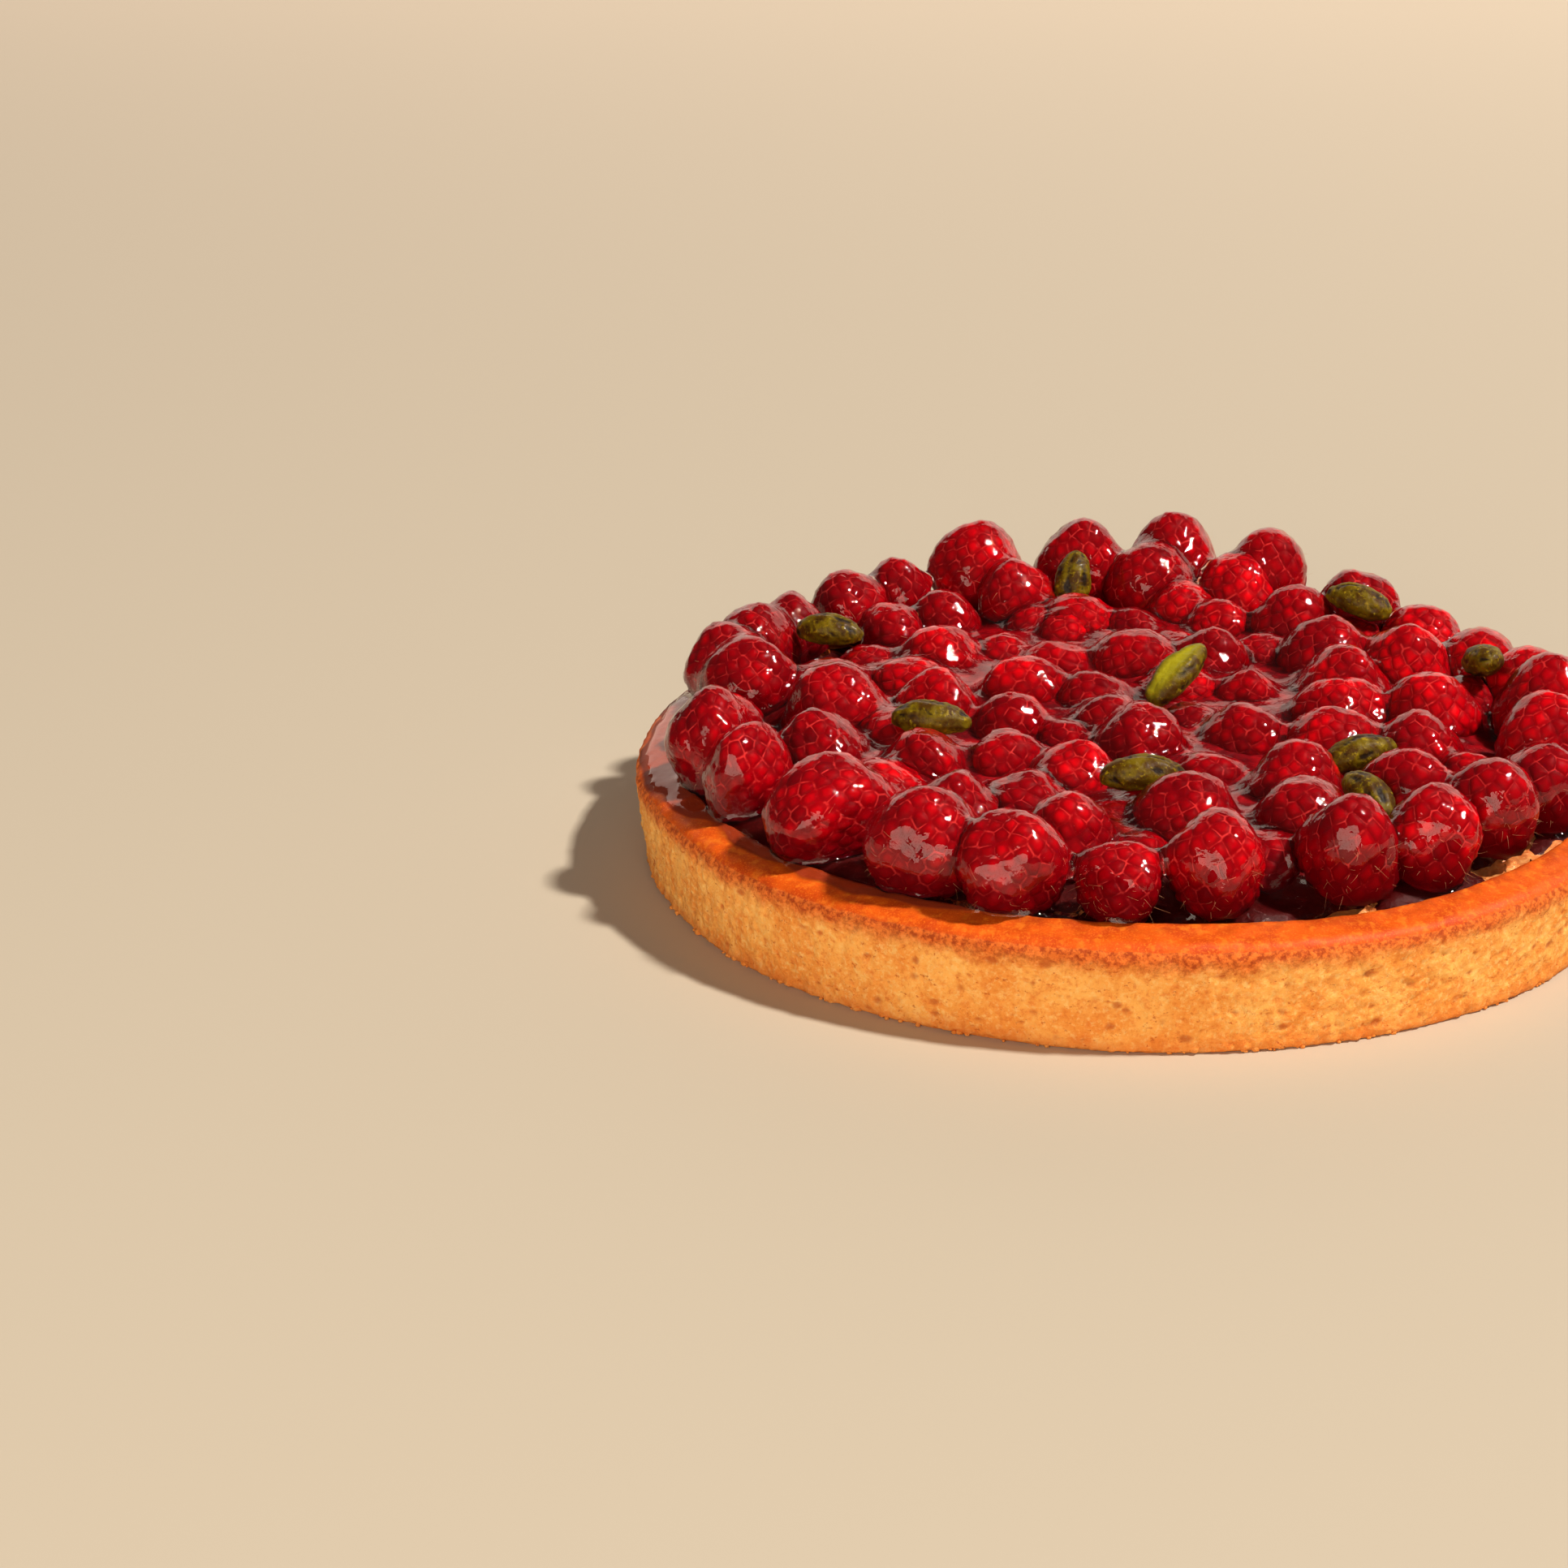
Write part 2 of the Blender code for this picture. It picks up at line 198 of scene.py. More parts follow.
# The raspberries that show, as in the part
FRONT_EDGE = [
    Berry(-91, -9, 18, 16), Berry(-91, -31, 18.5, 25, 0, 23.5, 90),
    Berry(-80.5, -47, 18, 23, 0, 22, 240), Berry(-61.5, -67, 23, 23, 0, 29, 219),
    Berry(-41, -84, 24, 24.5), Berry(-23, -92, 22, 23),
    Berry(-2, -93.5, 19, 17.5), Berry(17, -89, 21, 23)]
SECOND_ROW = [
    Berry(-67, -30, 20, 20), Berry(-44, -35, 18, 18), Berry(-36, -61, 17, 18.5),
    Berry(-13, -73, 19.5, 19.5), Berry(11, -62, 21, 21)]
MIDDLE = [
    Berry(-66, -5, 23, 23), Berry(-44, 0, 19, 19), Berry(-27, -9, 17.5, 17.5), Berry(-27, -30, 17, 17),
    Berry(-16, -13, 14, 13), Berry(-12, -38, 18, 18), Berry(1, -18, 19.5, 19.5), Berry(-5, -4, 18.5, 16.5),
    Berry(16, -31, 15, 14), Berry(24, -10, 18, 17.5), Berry(12, 1, 13, 13.5), Berry(-9, 12, 17, 16),
    Berry(-25, 15, 18.5, 18.5), Berry(25, 19, 15, 15), Berry(-1, 35, 19.5, 19.5), Berry(16, 37, 18, 18.5),
    Berry(28, 47, 14, 14)]
FAR_ROWS = [
    Berry(-45.5, 36, 18, 18), Berry(-62, 34, 14, 13), Berry(-31, 44, 15, 14), Berry(-58, 56, 16, 16),
    Berry(-46, 63, 17, 18), Berry(-25, 64, 14, 13), Berry(-17.5, 57, 13, 14), Berry(-13.5, 65, 17.5, 17),
    Berry(-1, 62, 15, 14.5), Berry(10, 73, 15, 17, 1.5), Berry(18, 64, 17, 16.5)]
BACK_EDGE = [
    Berry(-87, 14, 21, 21), Berry(-93.5, 24.5, 19, 20.5), Berry(-88, 38, 19.5, 21.5),
    Berry(-81, 52, 17, 19), Berry(-69.5, 69.5, 20, 19.5), Berry(-57.5, 79.5, 16.5, 20.5),
    Berry(-40, 90, 23.5, 24, 2.5), Berry(-30, 75, 18, 19, 3.5), Berry(-15, 94, 22, 25, 1.5),
    Berry(2, 85, 20, 20.5, 3.5), Berry(8, 98, 20, 24, 4.5), Berry(23, 84, 19, 21, 1),
    Berry(31, 93, 20, 24, 3.5)]
SEEN = FRONT_EDGE + SECOND_ROW + MIDDLE + FAR_ROWS + BACK_EDGE

NUTS = [
    Nut(-71, 38, 16.5, -14), Nut(-43.5, -24.5, 18, -8), Nut(-16, 78.5, 15, 80, 58),
    Nut(9, 13, 20.5, 50, 28), Nut(2, -50.5, 18.5, 10), Nut(47.5, -29, 17, 20, 12),
    Nut(51, 62, 16.5, 160, 12), Nut(76.5, 20.5, 17, 100, -24), Nut(48, -54, 16.5, 120, 15)]

# The layout of the heap, as in the part

def rim_limit(height):
    """How far from the axis a raspberry may reach: inside the wall of the crust, and over its lip."""
    return INNER_RADIUS - GAP + RIM_LEAN * np.maximum(0.0, height - CRUST_HEIGHT - RIM_WAVE - GAP)


def clearance(x, y, width, berries):
    """Free room between a raspberry at x, y and its nearest neighbour, squeezed a little."""
    return min(math.hypot(x - b.x, y - b.y) - CROWDING * (width + b.width) / 2 for b in berries)


def fill(berries, rng, allowed, height_share):
    """Add raspberries in the free places, large ones first, each as close to the rest as it goes."""
    for draw in range(DRAWS):
        width = LARGE - (LARGE - SMALL) * draw / DRAWS
        best = None
        for _ in range(TRIES):
            x, y = (rng.uniform(-INNER_LIMIT, INNER_LIMIT) for _ in "xy")
            if math.hypot(x, y) > INNER_LIMIT or not allowed(x):
                continue
            room = clearance(x, y, width, berries)
            if room >= 0 and (best is None or room < best[0]):
                best = (room, x, y)
        if best:
            height = width * height_share * rng.uniform(*HEIGHT_SHARES)
            berries.append(Berry(best[1], best[2], width, height))


def all_berries():
    rng = random.Random(SEED)
    berries = list(SEEN)
    for k in range(RING_COUNT):
        angle = math.radians(RING_FROM + (RING_TO - RING_FROM) * (k + 0.5) / RING_COUNT)
        radius = RING_RADIUS + rng.uniform(-RING_SPREAD, RING_SPREAD)
        width = rng.uniform(*RING_WIDTHS)
        height = width * rng.uniform(*RING_HEIGHT_SHARES)
        berries.append(Berry(radius * math.cos(angle), radius * math.sin(angle), width, height))
    fill(berries, rng, lambda x: x >= UNSEEN_X, 1.0)
    fill(berries, rng, lambda x: x < UNSEEN_X, LOW_SHARE)
    return berries


def waves(seed, lowest, highest):
    """An uneven, smooth function of the angle round the tart, between about -1 and 1."""
    rng = random.Random(seed)
    parts = [(k, rng.uniform(0, math.tau), rng.uniform(*WAVE_WEIGHTS)) for k in range(lowest, highest)]
    total = sum(weight for _, _, weight in parts)

    def value(angle):
        return sum(w * np.cos(k * angle + phase) for k, phase, w in parts) / total / USUAL_PEAK
    return value


# Mesh helpers

def ripple(points, size, seed, count=28):
    """Smooth random relief of about that feature size, roughly between -1 and 1."""
    rng = np.random.default_rng(seed)
    ways = rng.normal(size=(count, 3))
    ways /= np.linalg.norm(ways, axis=1)[:, None]
    ways *= math.tau / size * rng.uniform(0.45, 1.3, count)[:, None]
    phases = rng.uniform(0, math.tau, count)
    total = np.zeros(len(points))
    for way, phase in zip(ways, phases):
        total += np.cos(points @ way + phase)
    return total / math.sqrt(count)


def blend(low, high, value):
    """0 below low, 1 above high, smooth between them."""
    t = np.clip((value - low) / (high - low), 0.0, 1.0)
    return t * t * (3 - 2 * t)


def as_points(x, y, z=0.0):
    """Rows of points from coordinates that are arrays of any one shape."""
    return np.stack(np.broadcast_arrays(x, y, z), axis=-1).reshape(-1, 3)


def new_mesh(name, points, faces, marks=None):
    """A smooth mesh object from points in millimetres and faces that all have as many corners.

    It stays inside the box of the solids.
    """
    faces = np.asarray(faces, dtype=np.int32)
    inside = np.clip(np.asarray(points) * MM, *cad_box)
    mesh = bpy.data.meshes.new(name)
    mesh.vertices.add(len(points))
    mesh.vertices.foreach_set("co", inside.astype(np.float32).ravel())
    mesh.loops.add(faces.size)
    mesh.loops.foreach_set("vertex_index", faces.ravel())
    mesh.polygons.add(len(faces))
    mesh.polygons.foreach_set("loop_start", np.arange(len(faces), dtype=np.int32) * faces.shape[1])
    mesh.update(calc_edges=True)
    mesh.validate()
    mesh.shade_smooth()
    for mark, values in (marks or {}).items():
        domain = "POINT" if len(values) == len(points) else "FACE"
        layer = mesh.attributes.new(mark, "FLOAT", domain)
        layer.data.foreach_set("value", np.asarray(values, dtype=np.float32))
    item = bpy.data.objects.new(name, mesh)
    bpy.context.scene.collection.objects.link(item)
    return item


def finish_piece(item, look):
    item.data.materials.clear()
    item.data.materials.append(look)
    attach(item, "root")
    return item


def ring_quads(rings, sides):
    """Quads between rings of points that follow one another."""
    start = np.arange(rings - 1)[:, None] * sides
    low = start + np.arange(sides)[None, :]
    after = start + (np.arange(sides)[None, :] + 1) % sides
    return np.stack([low, after, after + sides, low + sides], axis=-1).reshape(-1, 4)


@contextmanager
def opened(item):
    """The mesh of an object, to be changed; it is put back with all its faces smooth."""
    mesh = bmesh.new()
    mesh.from_mesh(item.data)
    mesh.verts.ensure_lookup_table()
    yield mesh
    for face in mesh.faces:
        face.smooth = True
    mesh.to_mesh(item.data)
    mesh.free()


def close_ends(item, rings, sides):
    """Close rings of points with two fans, to the two points that come after those of the rings."""
    last = (rings - 1) * sides
    with opened(item) as shell:
        points = shell.verts
        for k in range(sides):
            after = (k + 1) % sides
            shell.faces.new((points[rings * sides], points[after], points[k]))
            shell.faces.new((points[rings * sides + 1], points[last + k], points[last + after]))


def lathe_grid(profile, sides):
    """Points and quads of a profile turned round Z; both ends of the profile are off the axis."""
    angles = math.tau * np.arange(sides) / sides
    radius, height = np.array(profile).T[..., None]
    points = as_points(radius * np.cos(angles), radius * np.sin(angles), height)
    return points, ring_quads(len(profile), sides)


def even_steps(corners, step):
    """The same line through the corners, with a point about every step."""
    corners = np.array(corners, dtype=float)
    lengths = np.linalg.norm(np.diff(corners, axis=0), axis=1)
    along = np.concatenate([[0], np.cumsum(lengths)])
    places = np.linspace(0, along[-1], int(along[-1] / step) + 1)
    return np.stack([np.interp(places, along, corners[:, k]) for k in range(2)], axis=1)


def corner(centre_r, centre_z, radius, start, end, steps):
    """Points of an arc in the profile plane, angles in degrees from the outward direction."""
    angles = np.radians(np.linspace(start, end, steps + 1))
    return [(centre_r + radius * math.cos(a), centre_z + radius * math.sin(a)) for a in angles]


# Node helpers

def srgb(red, green, blue):
    """A colour as it looks on screen, 0 to 255, as the linear values that shaders take."""
    shares = [c / 255 for c in (red, green, blue)]
    return (*[c / 12.92 if c < 0.04045 else ((c + 0.055) / 1.055) ** 2.4 for c in shares], 1.0)


class Look:
    """A node material, built by calls; a socket given as an input value is linked."""

    def __init__(self, name):
        self.material = bpy.data.materials.new(name)
        self.material.use_nodes = True
        self.tree = self.material.node_tree
        self.shader = self.tree.nodes["Principled BSDF"]

    def put(self, socket, value):
        if isinstance(value, bpy.types.NodeSocket):
            self.tree.links.new(value, socket)
        else:
            socket.default_value = value

    def node(self, kind, inputs=None, **settings):
        made = self.tree.nodes.new(kind)
        for name, value in settings.items():
            setattr(made, name, value)
        for name, value in (inputs or {}).items():
            self.put(made.inputs[name], value)
        return made

    def set(self, **values):
        for name, value in values.items():
            self.put(self.shader.inputs[name.replace("_", " ")], value)

    def place(self):
        """Object coordinates in millimetres."""
        source = self.node("ShaderNodeTexCoord").outputs["Object"]
        scaled = self.node("ShaderNodeVectorMath", {0: source, 1: (1000, 1000, 1000)}, operation="MULTIPLY")
        return scaled.outputs[0]

    def noise(self, size, detail=3.0, roughness=0.55, stretch=(1, 1, 1)):
        """Noise whose features are about that many millimetres wide."""
        scaled = self.node("ShaderNodeVectorMath", {0: self.place(), 1: stretch}, operation="MULTIPLY")
        made = self.node("ShaderNodeTexNoise", {
            "Vector": scaled.outputs[0], "Scale": 1 / size, "Detail": detail, "Roughness": roughness})
        return made.outputs["Fac"]

    def mark(self, name):
        return self.node("ShaderNodeAttribute", attribute_name=name).outputs["Fac"]

    def ramp(self, value, low, high):
        """0 below low, 1 above high."""
        made = self.node("ShaderNodeMapRange", {"Value": value, "From Min": low, "From Max": high},
                         interpolation_type="SMOOTHSTEP")
        return made.outputs["Result"]

    def mix(self, share, low, high, kind="MIX"):
        made = self.node("ShaderNodeMix", data_type="RGBA", blend_type=kind)
        self.put(made.inputs[0], share)
        self.put(made.inputs[6], low)
        self.put(made.inputs[7], high)
        return made.outputs[2]

    def lay(self, under, over, share, value, low, high):
        """A colour laid over another, up to that share, as the value goes from low to high."""
        return self.mix(self.maths("MULTIPLY", self.ramp(value, low, high), share), under, over)

    def maths(self, kind, first, second=0.0, third=0.0):
        return self.node("ShaderNodeMath", {0: first, 1: second, 2: third}, operation=kind).outputs[0]

    def height(self):
        return self.node("ShaderNodeSeparateXYZ", {0: self.place()}).outputs["Z"]

    def bump(self, value, depth, strength=1.0, under=None):
        """A normal from relief of that depth in millimetres."""
        inputs = {"Height": value, "Distance": depth * MM, "Strength": strength}
        if under:
            inputs["Normal"] = under
        return self.node("ShaderNodeBump", inputs).outputs["Normal"]


# Materials

def crust_look():
    """Pale golden crumb on the side, browner towards the top, and a smooth orange rim, dark where wet."""
    look = Look("baked crust")
    rim, pit, height = look.mark("rim"), look.mark("pit"), look.height()
    crumb, grain, mottle = look.noise(1.2, 4, 0.7), look.noise(0.4, 3, 0.7), look.noise(2.8, 4, 0.7)
    level = look.maths("MULTIPLY_ADD", look.noise(5, 3), 6.0, look.maths("SUBTRACT", height, 3.0))
    golden = look.mix(look.ramp(look.noise(9, 3), 0.35, 0.68), srgb(243, 154, 64), srgb(255, 184, 92))
    golden = look.lay(golden, srgb(228, 122, 46), 0.5, mottle, 0.48, 0.34)
    golden = look.lay(golden, srgb(255, 204, 120), 0.7, mottle, 0.54, 0.68)
    golden = look.lay(golden, srgb(255, 204, 124), 0.7, crumb, 0.5, 0.68)
    golden = look.lay(golden, srgb(216, 108, 38), 0.45, crumb, 0.46, 0.34)
    brown = look.mix(look.ramp(crumb, 0.38, 0.6), srgb(176, 70, 22), srgb(236, 120, 44))
    side = look.mix(look.ramp(level, 16.5, 21.5), golden, brown)
    side = look.lay(side, srgb(222, 118, 44), 0.6, level, 5.0, 0.5)
    side = look.lay(side, srgb(186, 76, 22), 0.7, look.noise(1.7, 3, 0.7, (1, 1, 1.5)), 0.62, 0.7)
    side = look.lay(side, srgb(182, 80, 28), 0.7, pit, 0.15, 0.9)
    top = look.mix(look.ramp(look.noise(6, 3), 0.35, 0.7), srgb(224, 90, 12), srgb(196, 68, 8))
    top = look.mix(look.ramp(look.noise(2.2, 3, 0.6), 0.5, 0.7), top, srgb(232, 116, 26))
    top = look.mix(look.ramp(grain, 0.5, 0.75), top, srgb(246, 128, 36))
    inner = look.maths("MULTIPLY", look.mark("inner"), look.ramp(look.noise(4, 3), 0.4, 0.62))
    top = look.mix(look.maths("MULTIPLY", inner, 0.6), top, srgb(168, 58, 8))
    top = look.mix(look.ramp(look.mark("wet"), 0.1, 0.9), top, srgb(128, 42, 8))
    border = look.maths("ADD", rim, look.maths("MULTIPLY_ADD", look.noise(3, 3), 0.9, -0.45))
    colour = look.mix(look.ramp(border, 0.3, 0.55), side, top)
    relief = look.maths("MULTIPLY_ADD", grain, 0.4, crumb)
    normal = look.bump(relief, 0.42, look.maths("MULTIPLY_ADD", rim, -0.8, 1.0))
    rough = look.maths("MULTIPLY_ADD", rim, -0.28, 0.8)
    look.set(Base_Color=colour, Roughness=rough, Normal=normal, Specular_IOR_Level=0.2)
    look.set(Subsurface_Weight=0.12, Subsurface_Scale=0.003, Subsurface_Radius=(1.0, 0.45, 0.2))
    return look.material


def filling_look():
    """Pale baked cream with darker patches."""
    look = Look("baked filling")
    fine = look.noise(1.6, 4, 0.65)
    colour = look.mix(look.ramp(look.noise(7, 3), 0.35, 0.7), srgb(226, 140, 74), srgb(196, 100, 46))
    colour = look.mix(look.ramp(fine, 0.45, 0.7), colour, srgb(240, 170, 104))
    look.set(Base_Color=colour, Roughness=0.42, Normal=look.bump(fine, 0.3))
    look.set(Subsurface_Weight=0.15, Subsurface_Scale=0.003, Subsurface_Radius=(1.0, 0.5, 0.25))
    return look.material


def core_look():
    """Dark red juice and pulp, with painted shade that makes it almost black low by the rim."""
    look = Look("juice")
    pulp = look.noise(4, 3)
    colour = look.mix(look.ramp(pulp, 0.35, 0.7), srgb(84, 0, 7), srgb(146, 1, 13))
    # painted shade: the juice is darkened to almost black below 29 mm, low by the rim
    colour = look.mix(look.ramp(look.height(), 29.0, 24.0), colour, srgb(58, 6, 6))
    look.set(Base_Color=colour, Roughness=0.5, Normal=look.bump(pulp, 0.8), Specular_IOR_Level=0.1)
    return look.material


def berry_look():
    """Red flesh whose drupelets darken towards their borders, with broken pale lines between them, and
    painted shade that darkens the raspberries low down.
    """
    look = Look("glazed raspberry")
    edge, tint = look.mark("edge"), look.mark("tint")
    flesh = look.mix(look.ramp(tint, 0.0, 0.5), srgb(84, 0, 6), srgb(150, 0, 9))
    flesh = look.mix(look.ramp(tint, 0.45, 1.0), flesh, srgb(218, 2, 14))
    flesh = look.lay(flesh, srgb(80, 0, 5), 0.5, look.noise(9, 2), 0.38, 0.62)
    bead = look.lay(flesh, srgb(92, 0, 6), 0.55, edge, 0.35, 0.85)
    broken = look.ramp(look.noise(2.4, 3, 0.6), 0.42, 0.66)
    line = look.maths("MULTIPLY", look.ramp(edge, 0.9, 1.0), broken)
    colour = look.mix(look.maths("MULTIPLY", line, 0.5), bead, srgb(222, 60, 58))
    # painted shade: the raspberries turn almost black towards their lower parts, from 35 mm down to 25 mm
    colour = look.lay(colour, srgb(66, 0, 6), 0.82, look.height(), 35.0, 25.0)
    look.set(Base_Color=colour, Roughness=0.4, Normal=look.bump(look.noise(0.5, 3), 0.05))
    look.set(Subsurface_Weight=0.2, Subsurface_Scale=0.003, Subsurface_Radius=(1.0, 0.06, 0.04))
    look.set(Specular_IOR_Level=0.02)
    return look.material


def glaze_look():
    """Clear glaze, wavy on the raspberries and almost smooth where it lies flat."""
    look = Look("glaze")
    lively = look.maths("MULTIPLY_ADD", look.mark("still"), -0.8, 1.0)
    swell = look.bump(look.noise(6, 2, 0.5), 0.3, lively)
    swell = look.bump(look.noise(2.2, 2, 0.5), 0.24, lively, under=swell)
    normal = look.bump(look.noise(0.9, 2, 0.5), 0.04, lively, under=swell)
    look.set(Base_Color=srgb(255, 240, 236), Roughness=0.03, IOR=1.4, Normal=normal)
    look.set(Transmission_Weight=1.0)
    return look.material


def nut_look():
    """Olive brown skin with lighter streaks and dark creases, and green flesh where it is split."""
    look = Look("pistachio")
    streak = look.noise(1.3, 4, 0.65)
    skin = look.mix(look.ramp(look.noise(3.4, 3), 0.38, 0.62), srgb(112, 92, 6), srgb(74, 46, 3))
    skin = look.mix(look.ramp(streak, 0.54, 0.7), skin, srgb(158, 134, 14))
    skin = look.mix(look.ramp(look.mark("crease"), 0.2, 0.9), skin, srgb(34, 20, 6))
    colour = look.mix(look.mark("inside"), skin, srgb(164, 154, 24))
    look.set(Base_Color=colour, Roughness=0.45, Normal=look.bump(streak, 0.3), Coat_Weight=0.05,
             Coat_Roughness=0.08, Specular_IOR_Level=0.15)
    return look.material


def hair_look():
    look = Look("raspberry hair")
    look.set(Base_Color=srgb(206, 140, 96), Roughness=0.4)
    return look.material


def floor_look():
    look = Look("floor")
    look.set(Base_Color=srgb(194, 182, 162), Roughness=0.85)
    return look.material


# Crust

def crust_profile():
    """The outer line of the shell, from under its base up and over the rim to the filling."""
    shoulder_z = CRUST_HEIGHT - RIM_SLOPE - SHOULDER
    base = [(BASE_RADIUS - UNDERSIDE, 0), (BASE_RADIUS - BASE_EDGE, 0)]
    base += corner(BASE_RADIUS - BASE_EDGE, BASE_EDGE, BASE_EDGE, -80, 0, 4)
    shoulder = corner(RIM_RADIUS - SHOULDER, shoulder_z, SHOULDER, 5, 90, 10)
    lip = corner(INNER_RADIUS + LIP, CRUST_HEIGHT - LIP, LIP, 90, 180, 5)
    return even_steps(base + shoulder + lip + [(INNER_RADIUS, FILLING_TOP - BELOW_FILLING)], OUTLINE_STEP)


def press_pits(relief, pit, profile, sides, rng):
    """Small pits and flakes in the side, made by lowering the relief round each."""
    rows = [k for k, (r, z) in enumerate(profile) if PIT_ZONE[0] < z < PIT_ZONE[1] and r > BASE_RADIUS - 1]
    step = math.tau * RIM_RADIUS / sides
    for _ in range(PIT_COUNT):
        row, column = rng.choice(rows), rng.randrange(sides)
        size = rng.choice(PIT_SIZES)
        depth = rng.uniform(*PIT_DEPTHS) * min(1.0, size)
        reach = int(size / step) + 1
        wide = rng.uniform(*PIT_WIDTHS)
        for i in range(max(0, row - reach), min(len(profile), row + reach + 1)):
            for j in range(column - 2 * reach, column + 2 * reach + 1):
                off = math.hypot((i - row) * OUTLINE_STEP, (j - column) * step / wide) / size
                if off < 1:
                    dip = (1 - off * off) ** 2
                    relief[i, j % sides] -= depth * dip
                    pit[i, j % sides] = max(pit[i, j % sides], dip * min(1.0, depth * 2.6))


def crust_relief(flat, upward, profile):
    """Crumb, pits and lumps over the smooth shell, and how far in a pit each point is."""
    height = flat[:, 2]
    crumb = sum(depth * ripple(flat, size, seed) for size, seed, depth in CRUMB_RELIEF)
    smooth_top = TOP_RELIEF * ripple(flat, 5.0, 4)
    relief = (crumb * (1 - upward) + smooth_top * upward - RELIEF_SINK).reshape(len(profile), -1)
    pit = np.zeros_like(relief)
    press_pits(relief, pit, profile, CRUST_STEPS, random.Random(SEED))
    lumps = np.maximum(0.0, ripple(flat, 2.6, 5)) * blend(3.2, 0.6, height) * blend(-0.1, 0.9, height)
    return (relief.ravel() + FOOT_LUMPS * lumps) * blend(-0.05, 0.4, height), pit.ravel()


def make_crust(look):
    profile = crust_profile()
    flat, quads = lathe_grid(profile, CRUST_STEPS)
    angle = np.arctan2(flat[:, 1], flat[:, 0])
    radius = np.linalg.norm(flat[:, :2], axis=1)
    height = flat[:, 2]
    slope = np.gradient(profile, axis=0)
    slope /= np.linalg.norm(slope, axis=1)[:, None]
    out_r, out_z = (np.repeat(part, CRUST_STEPS) for part in (slope[:, 1], -slope[:, 0]))
    upward = blend(0.35, 0.85, out_z)
    relief, pit = crust_relief(flat, upward, profile)
    side_wave, rim_wave = waves(SEED, *SIDE_WAVES), waves(SEED + 1, *RIM_WAVES)
    outward = SIDE_WAVE * side_wave(angle) * (radius > INNER_RADIUS + LIP) * (height > 0)
    rise = height / CRUST_HEIGHT
    lift = RIM_WAVE * rise * rise * rim_wave(angle) * (height > 0)
    reach = radius + outward + relief * out_r
    top = np.minimum(height + lift + relief * out_z, CRUST_HEIGHT + RIM_WAVE)
    final = as_points(reach * np.cos(angle), reach * np.sin(angle), np.maximum(top, 0.0))
    near_berries = blend(6.5, 0.5, radius - INNER_RADIUS + 1.4 * ripple(flat, 9, 6)) * wet_side(angle)
    under_film = blend(1.0, -1.0, radius - film_edge(flat[:, 0], flat[:, 1]))
    wet = np.maximum(0.8 * near_berries, under_film)
    marks = {"rim": upward, "pit": pit, "wet": wet, "inner": blend(6, 1, radius - INNER_RADIUS)}
    marks = {name: np.append(values, [0, 0]) for name, values in marks.items()}
    final = np.vstack([final, [[0, 0, 0]], [[0, 0, FILLING_TOP - BELOW_FILLING]]])
    item = new_mesh("crust_baked", final, quads, marks)
    close_ends(item, len(profile), CRUST_STEPS)
    finish_piece(item, look)
    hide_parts("crust")
    return item


def wet_side(angle):
    """1 on the left of the tart, where the glaze ran on to the rim, and less elsewhere."""
    away = np.abs((np.degrees(angle) % 360) - WET_MIDDLE)
    return 0.25 + 0.75 * blend(75, 35, away)


def make_crumbs(look):
    """Crumbs along the bottom edge of the crust, baked on to it."""
    rng = random.Random(SEED + 5)
    crumbs = bmesh.new()
    for _ in range(CRUMB_COUNT):
        angle = rng.uniform(0, math.tau)
        size = rng.choice(CRUMB_SIZES)
        reach = BASE_RADIUS - 0.4 - size / 2
        place = Vector((reach * math.cos(angle), reach * math.sin(angle), size * rng.uniform(0.3, 0.9)))
        made = bmesh.ops.create_icosphere(crumbs, subdivisions=1, radius=size)["verts"]
        squash = Vector((rng.uniform(0.8, 1.2), rng.uniform(0.8, 1.2), rng.uniform(0.7, 0.9)))
        for vert in made:
            knob = vert.co * rng.uniform(0.86, 1.08) * squash
            vert.co = place + knob
            vert.co.z = max(vert.co.z, 0.02)
    crumbs.verts.index_update()
    points = np.array([vert.co for vert in crumbs.verts])
    faces = np.array([[vert.index for vert in face.verts] for face in crumbs.faces])
    crumbs.free()
    marks = {name: np.zeros(len(points)) for name in ("rim", "pit", "wet", "inner")}
    return finish_piece(new_mesh("crust_crumbs", points, faces, marks), look)


# Filling and core

def make_disc(name, radius, top_of, bottom, step):
    """A closed disc whose top follows a function of the points in it."""
    line = even_steps([(0.5, 0), (radius, 0)], step)
    sides = int(math.tau * radius / step / 2)
    flat, quads = lathe_grid([(0.5, bottom), (radius, bottom)] + list(line[::-1]), sides)
    upper = slice(2 * sides, None)
    flat[upper, 2] = top_of(flat[upper])
    item = new_mesh(name, flat, quads)
    last = len(flat) - sides
    with opened(item) as disc:
        disc.faces.new([disc.verts[k] for k in reversed(range(sides))])
        disc.faces.new([disc.verts[last + k] for k in range(sides)])
    return item


def make_filling():
    outer = INNER_RADIUS - GAP

    def top_of(points):
        share = np.linalg.norm(points[:, :2], axis=1) / outer
        crown = FILLING_TOP + FILLING_DOME * (1 - share ** 2)
        return crown + 0.14 * ripple(points, 3.0, 21) + 0.2 * ripple(points, 9.0, 22) - 0.3
    disc = make_disc("filling_baked", outer, top_of, FLOOR + GAP, 2.0)
    item = finish_piece(disc, filling_look())
    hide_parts("filling")
    return item


def make_core():
    """The pulp and juice that fill the heap under the raspberries."""
    def top_of(points):
        away = np.linalg.norm(points[:, :2], axis=1)
        return pool_level(points[:, 0], points[:, 1]) - PULP_BELOW_GLAZE - 2.0 * blend(94, 98.6, away)
    item = make_disc("berry_core", PULP_RADIUS, top_of, BERRY_BASE - 2, 1.6)
    return finish_piece(item, core_look())


# Raspberries

def half_sizes(berry):
    """Half of the length, width and height of a raspberry."""
    return np.array([berry.length or berry.width, berry.width, berry.height]) / 2


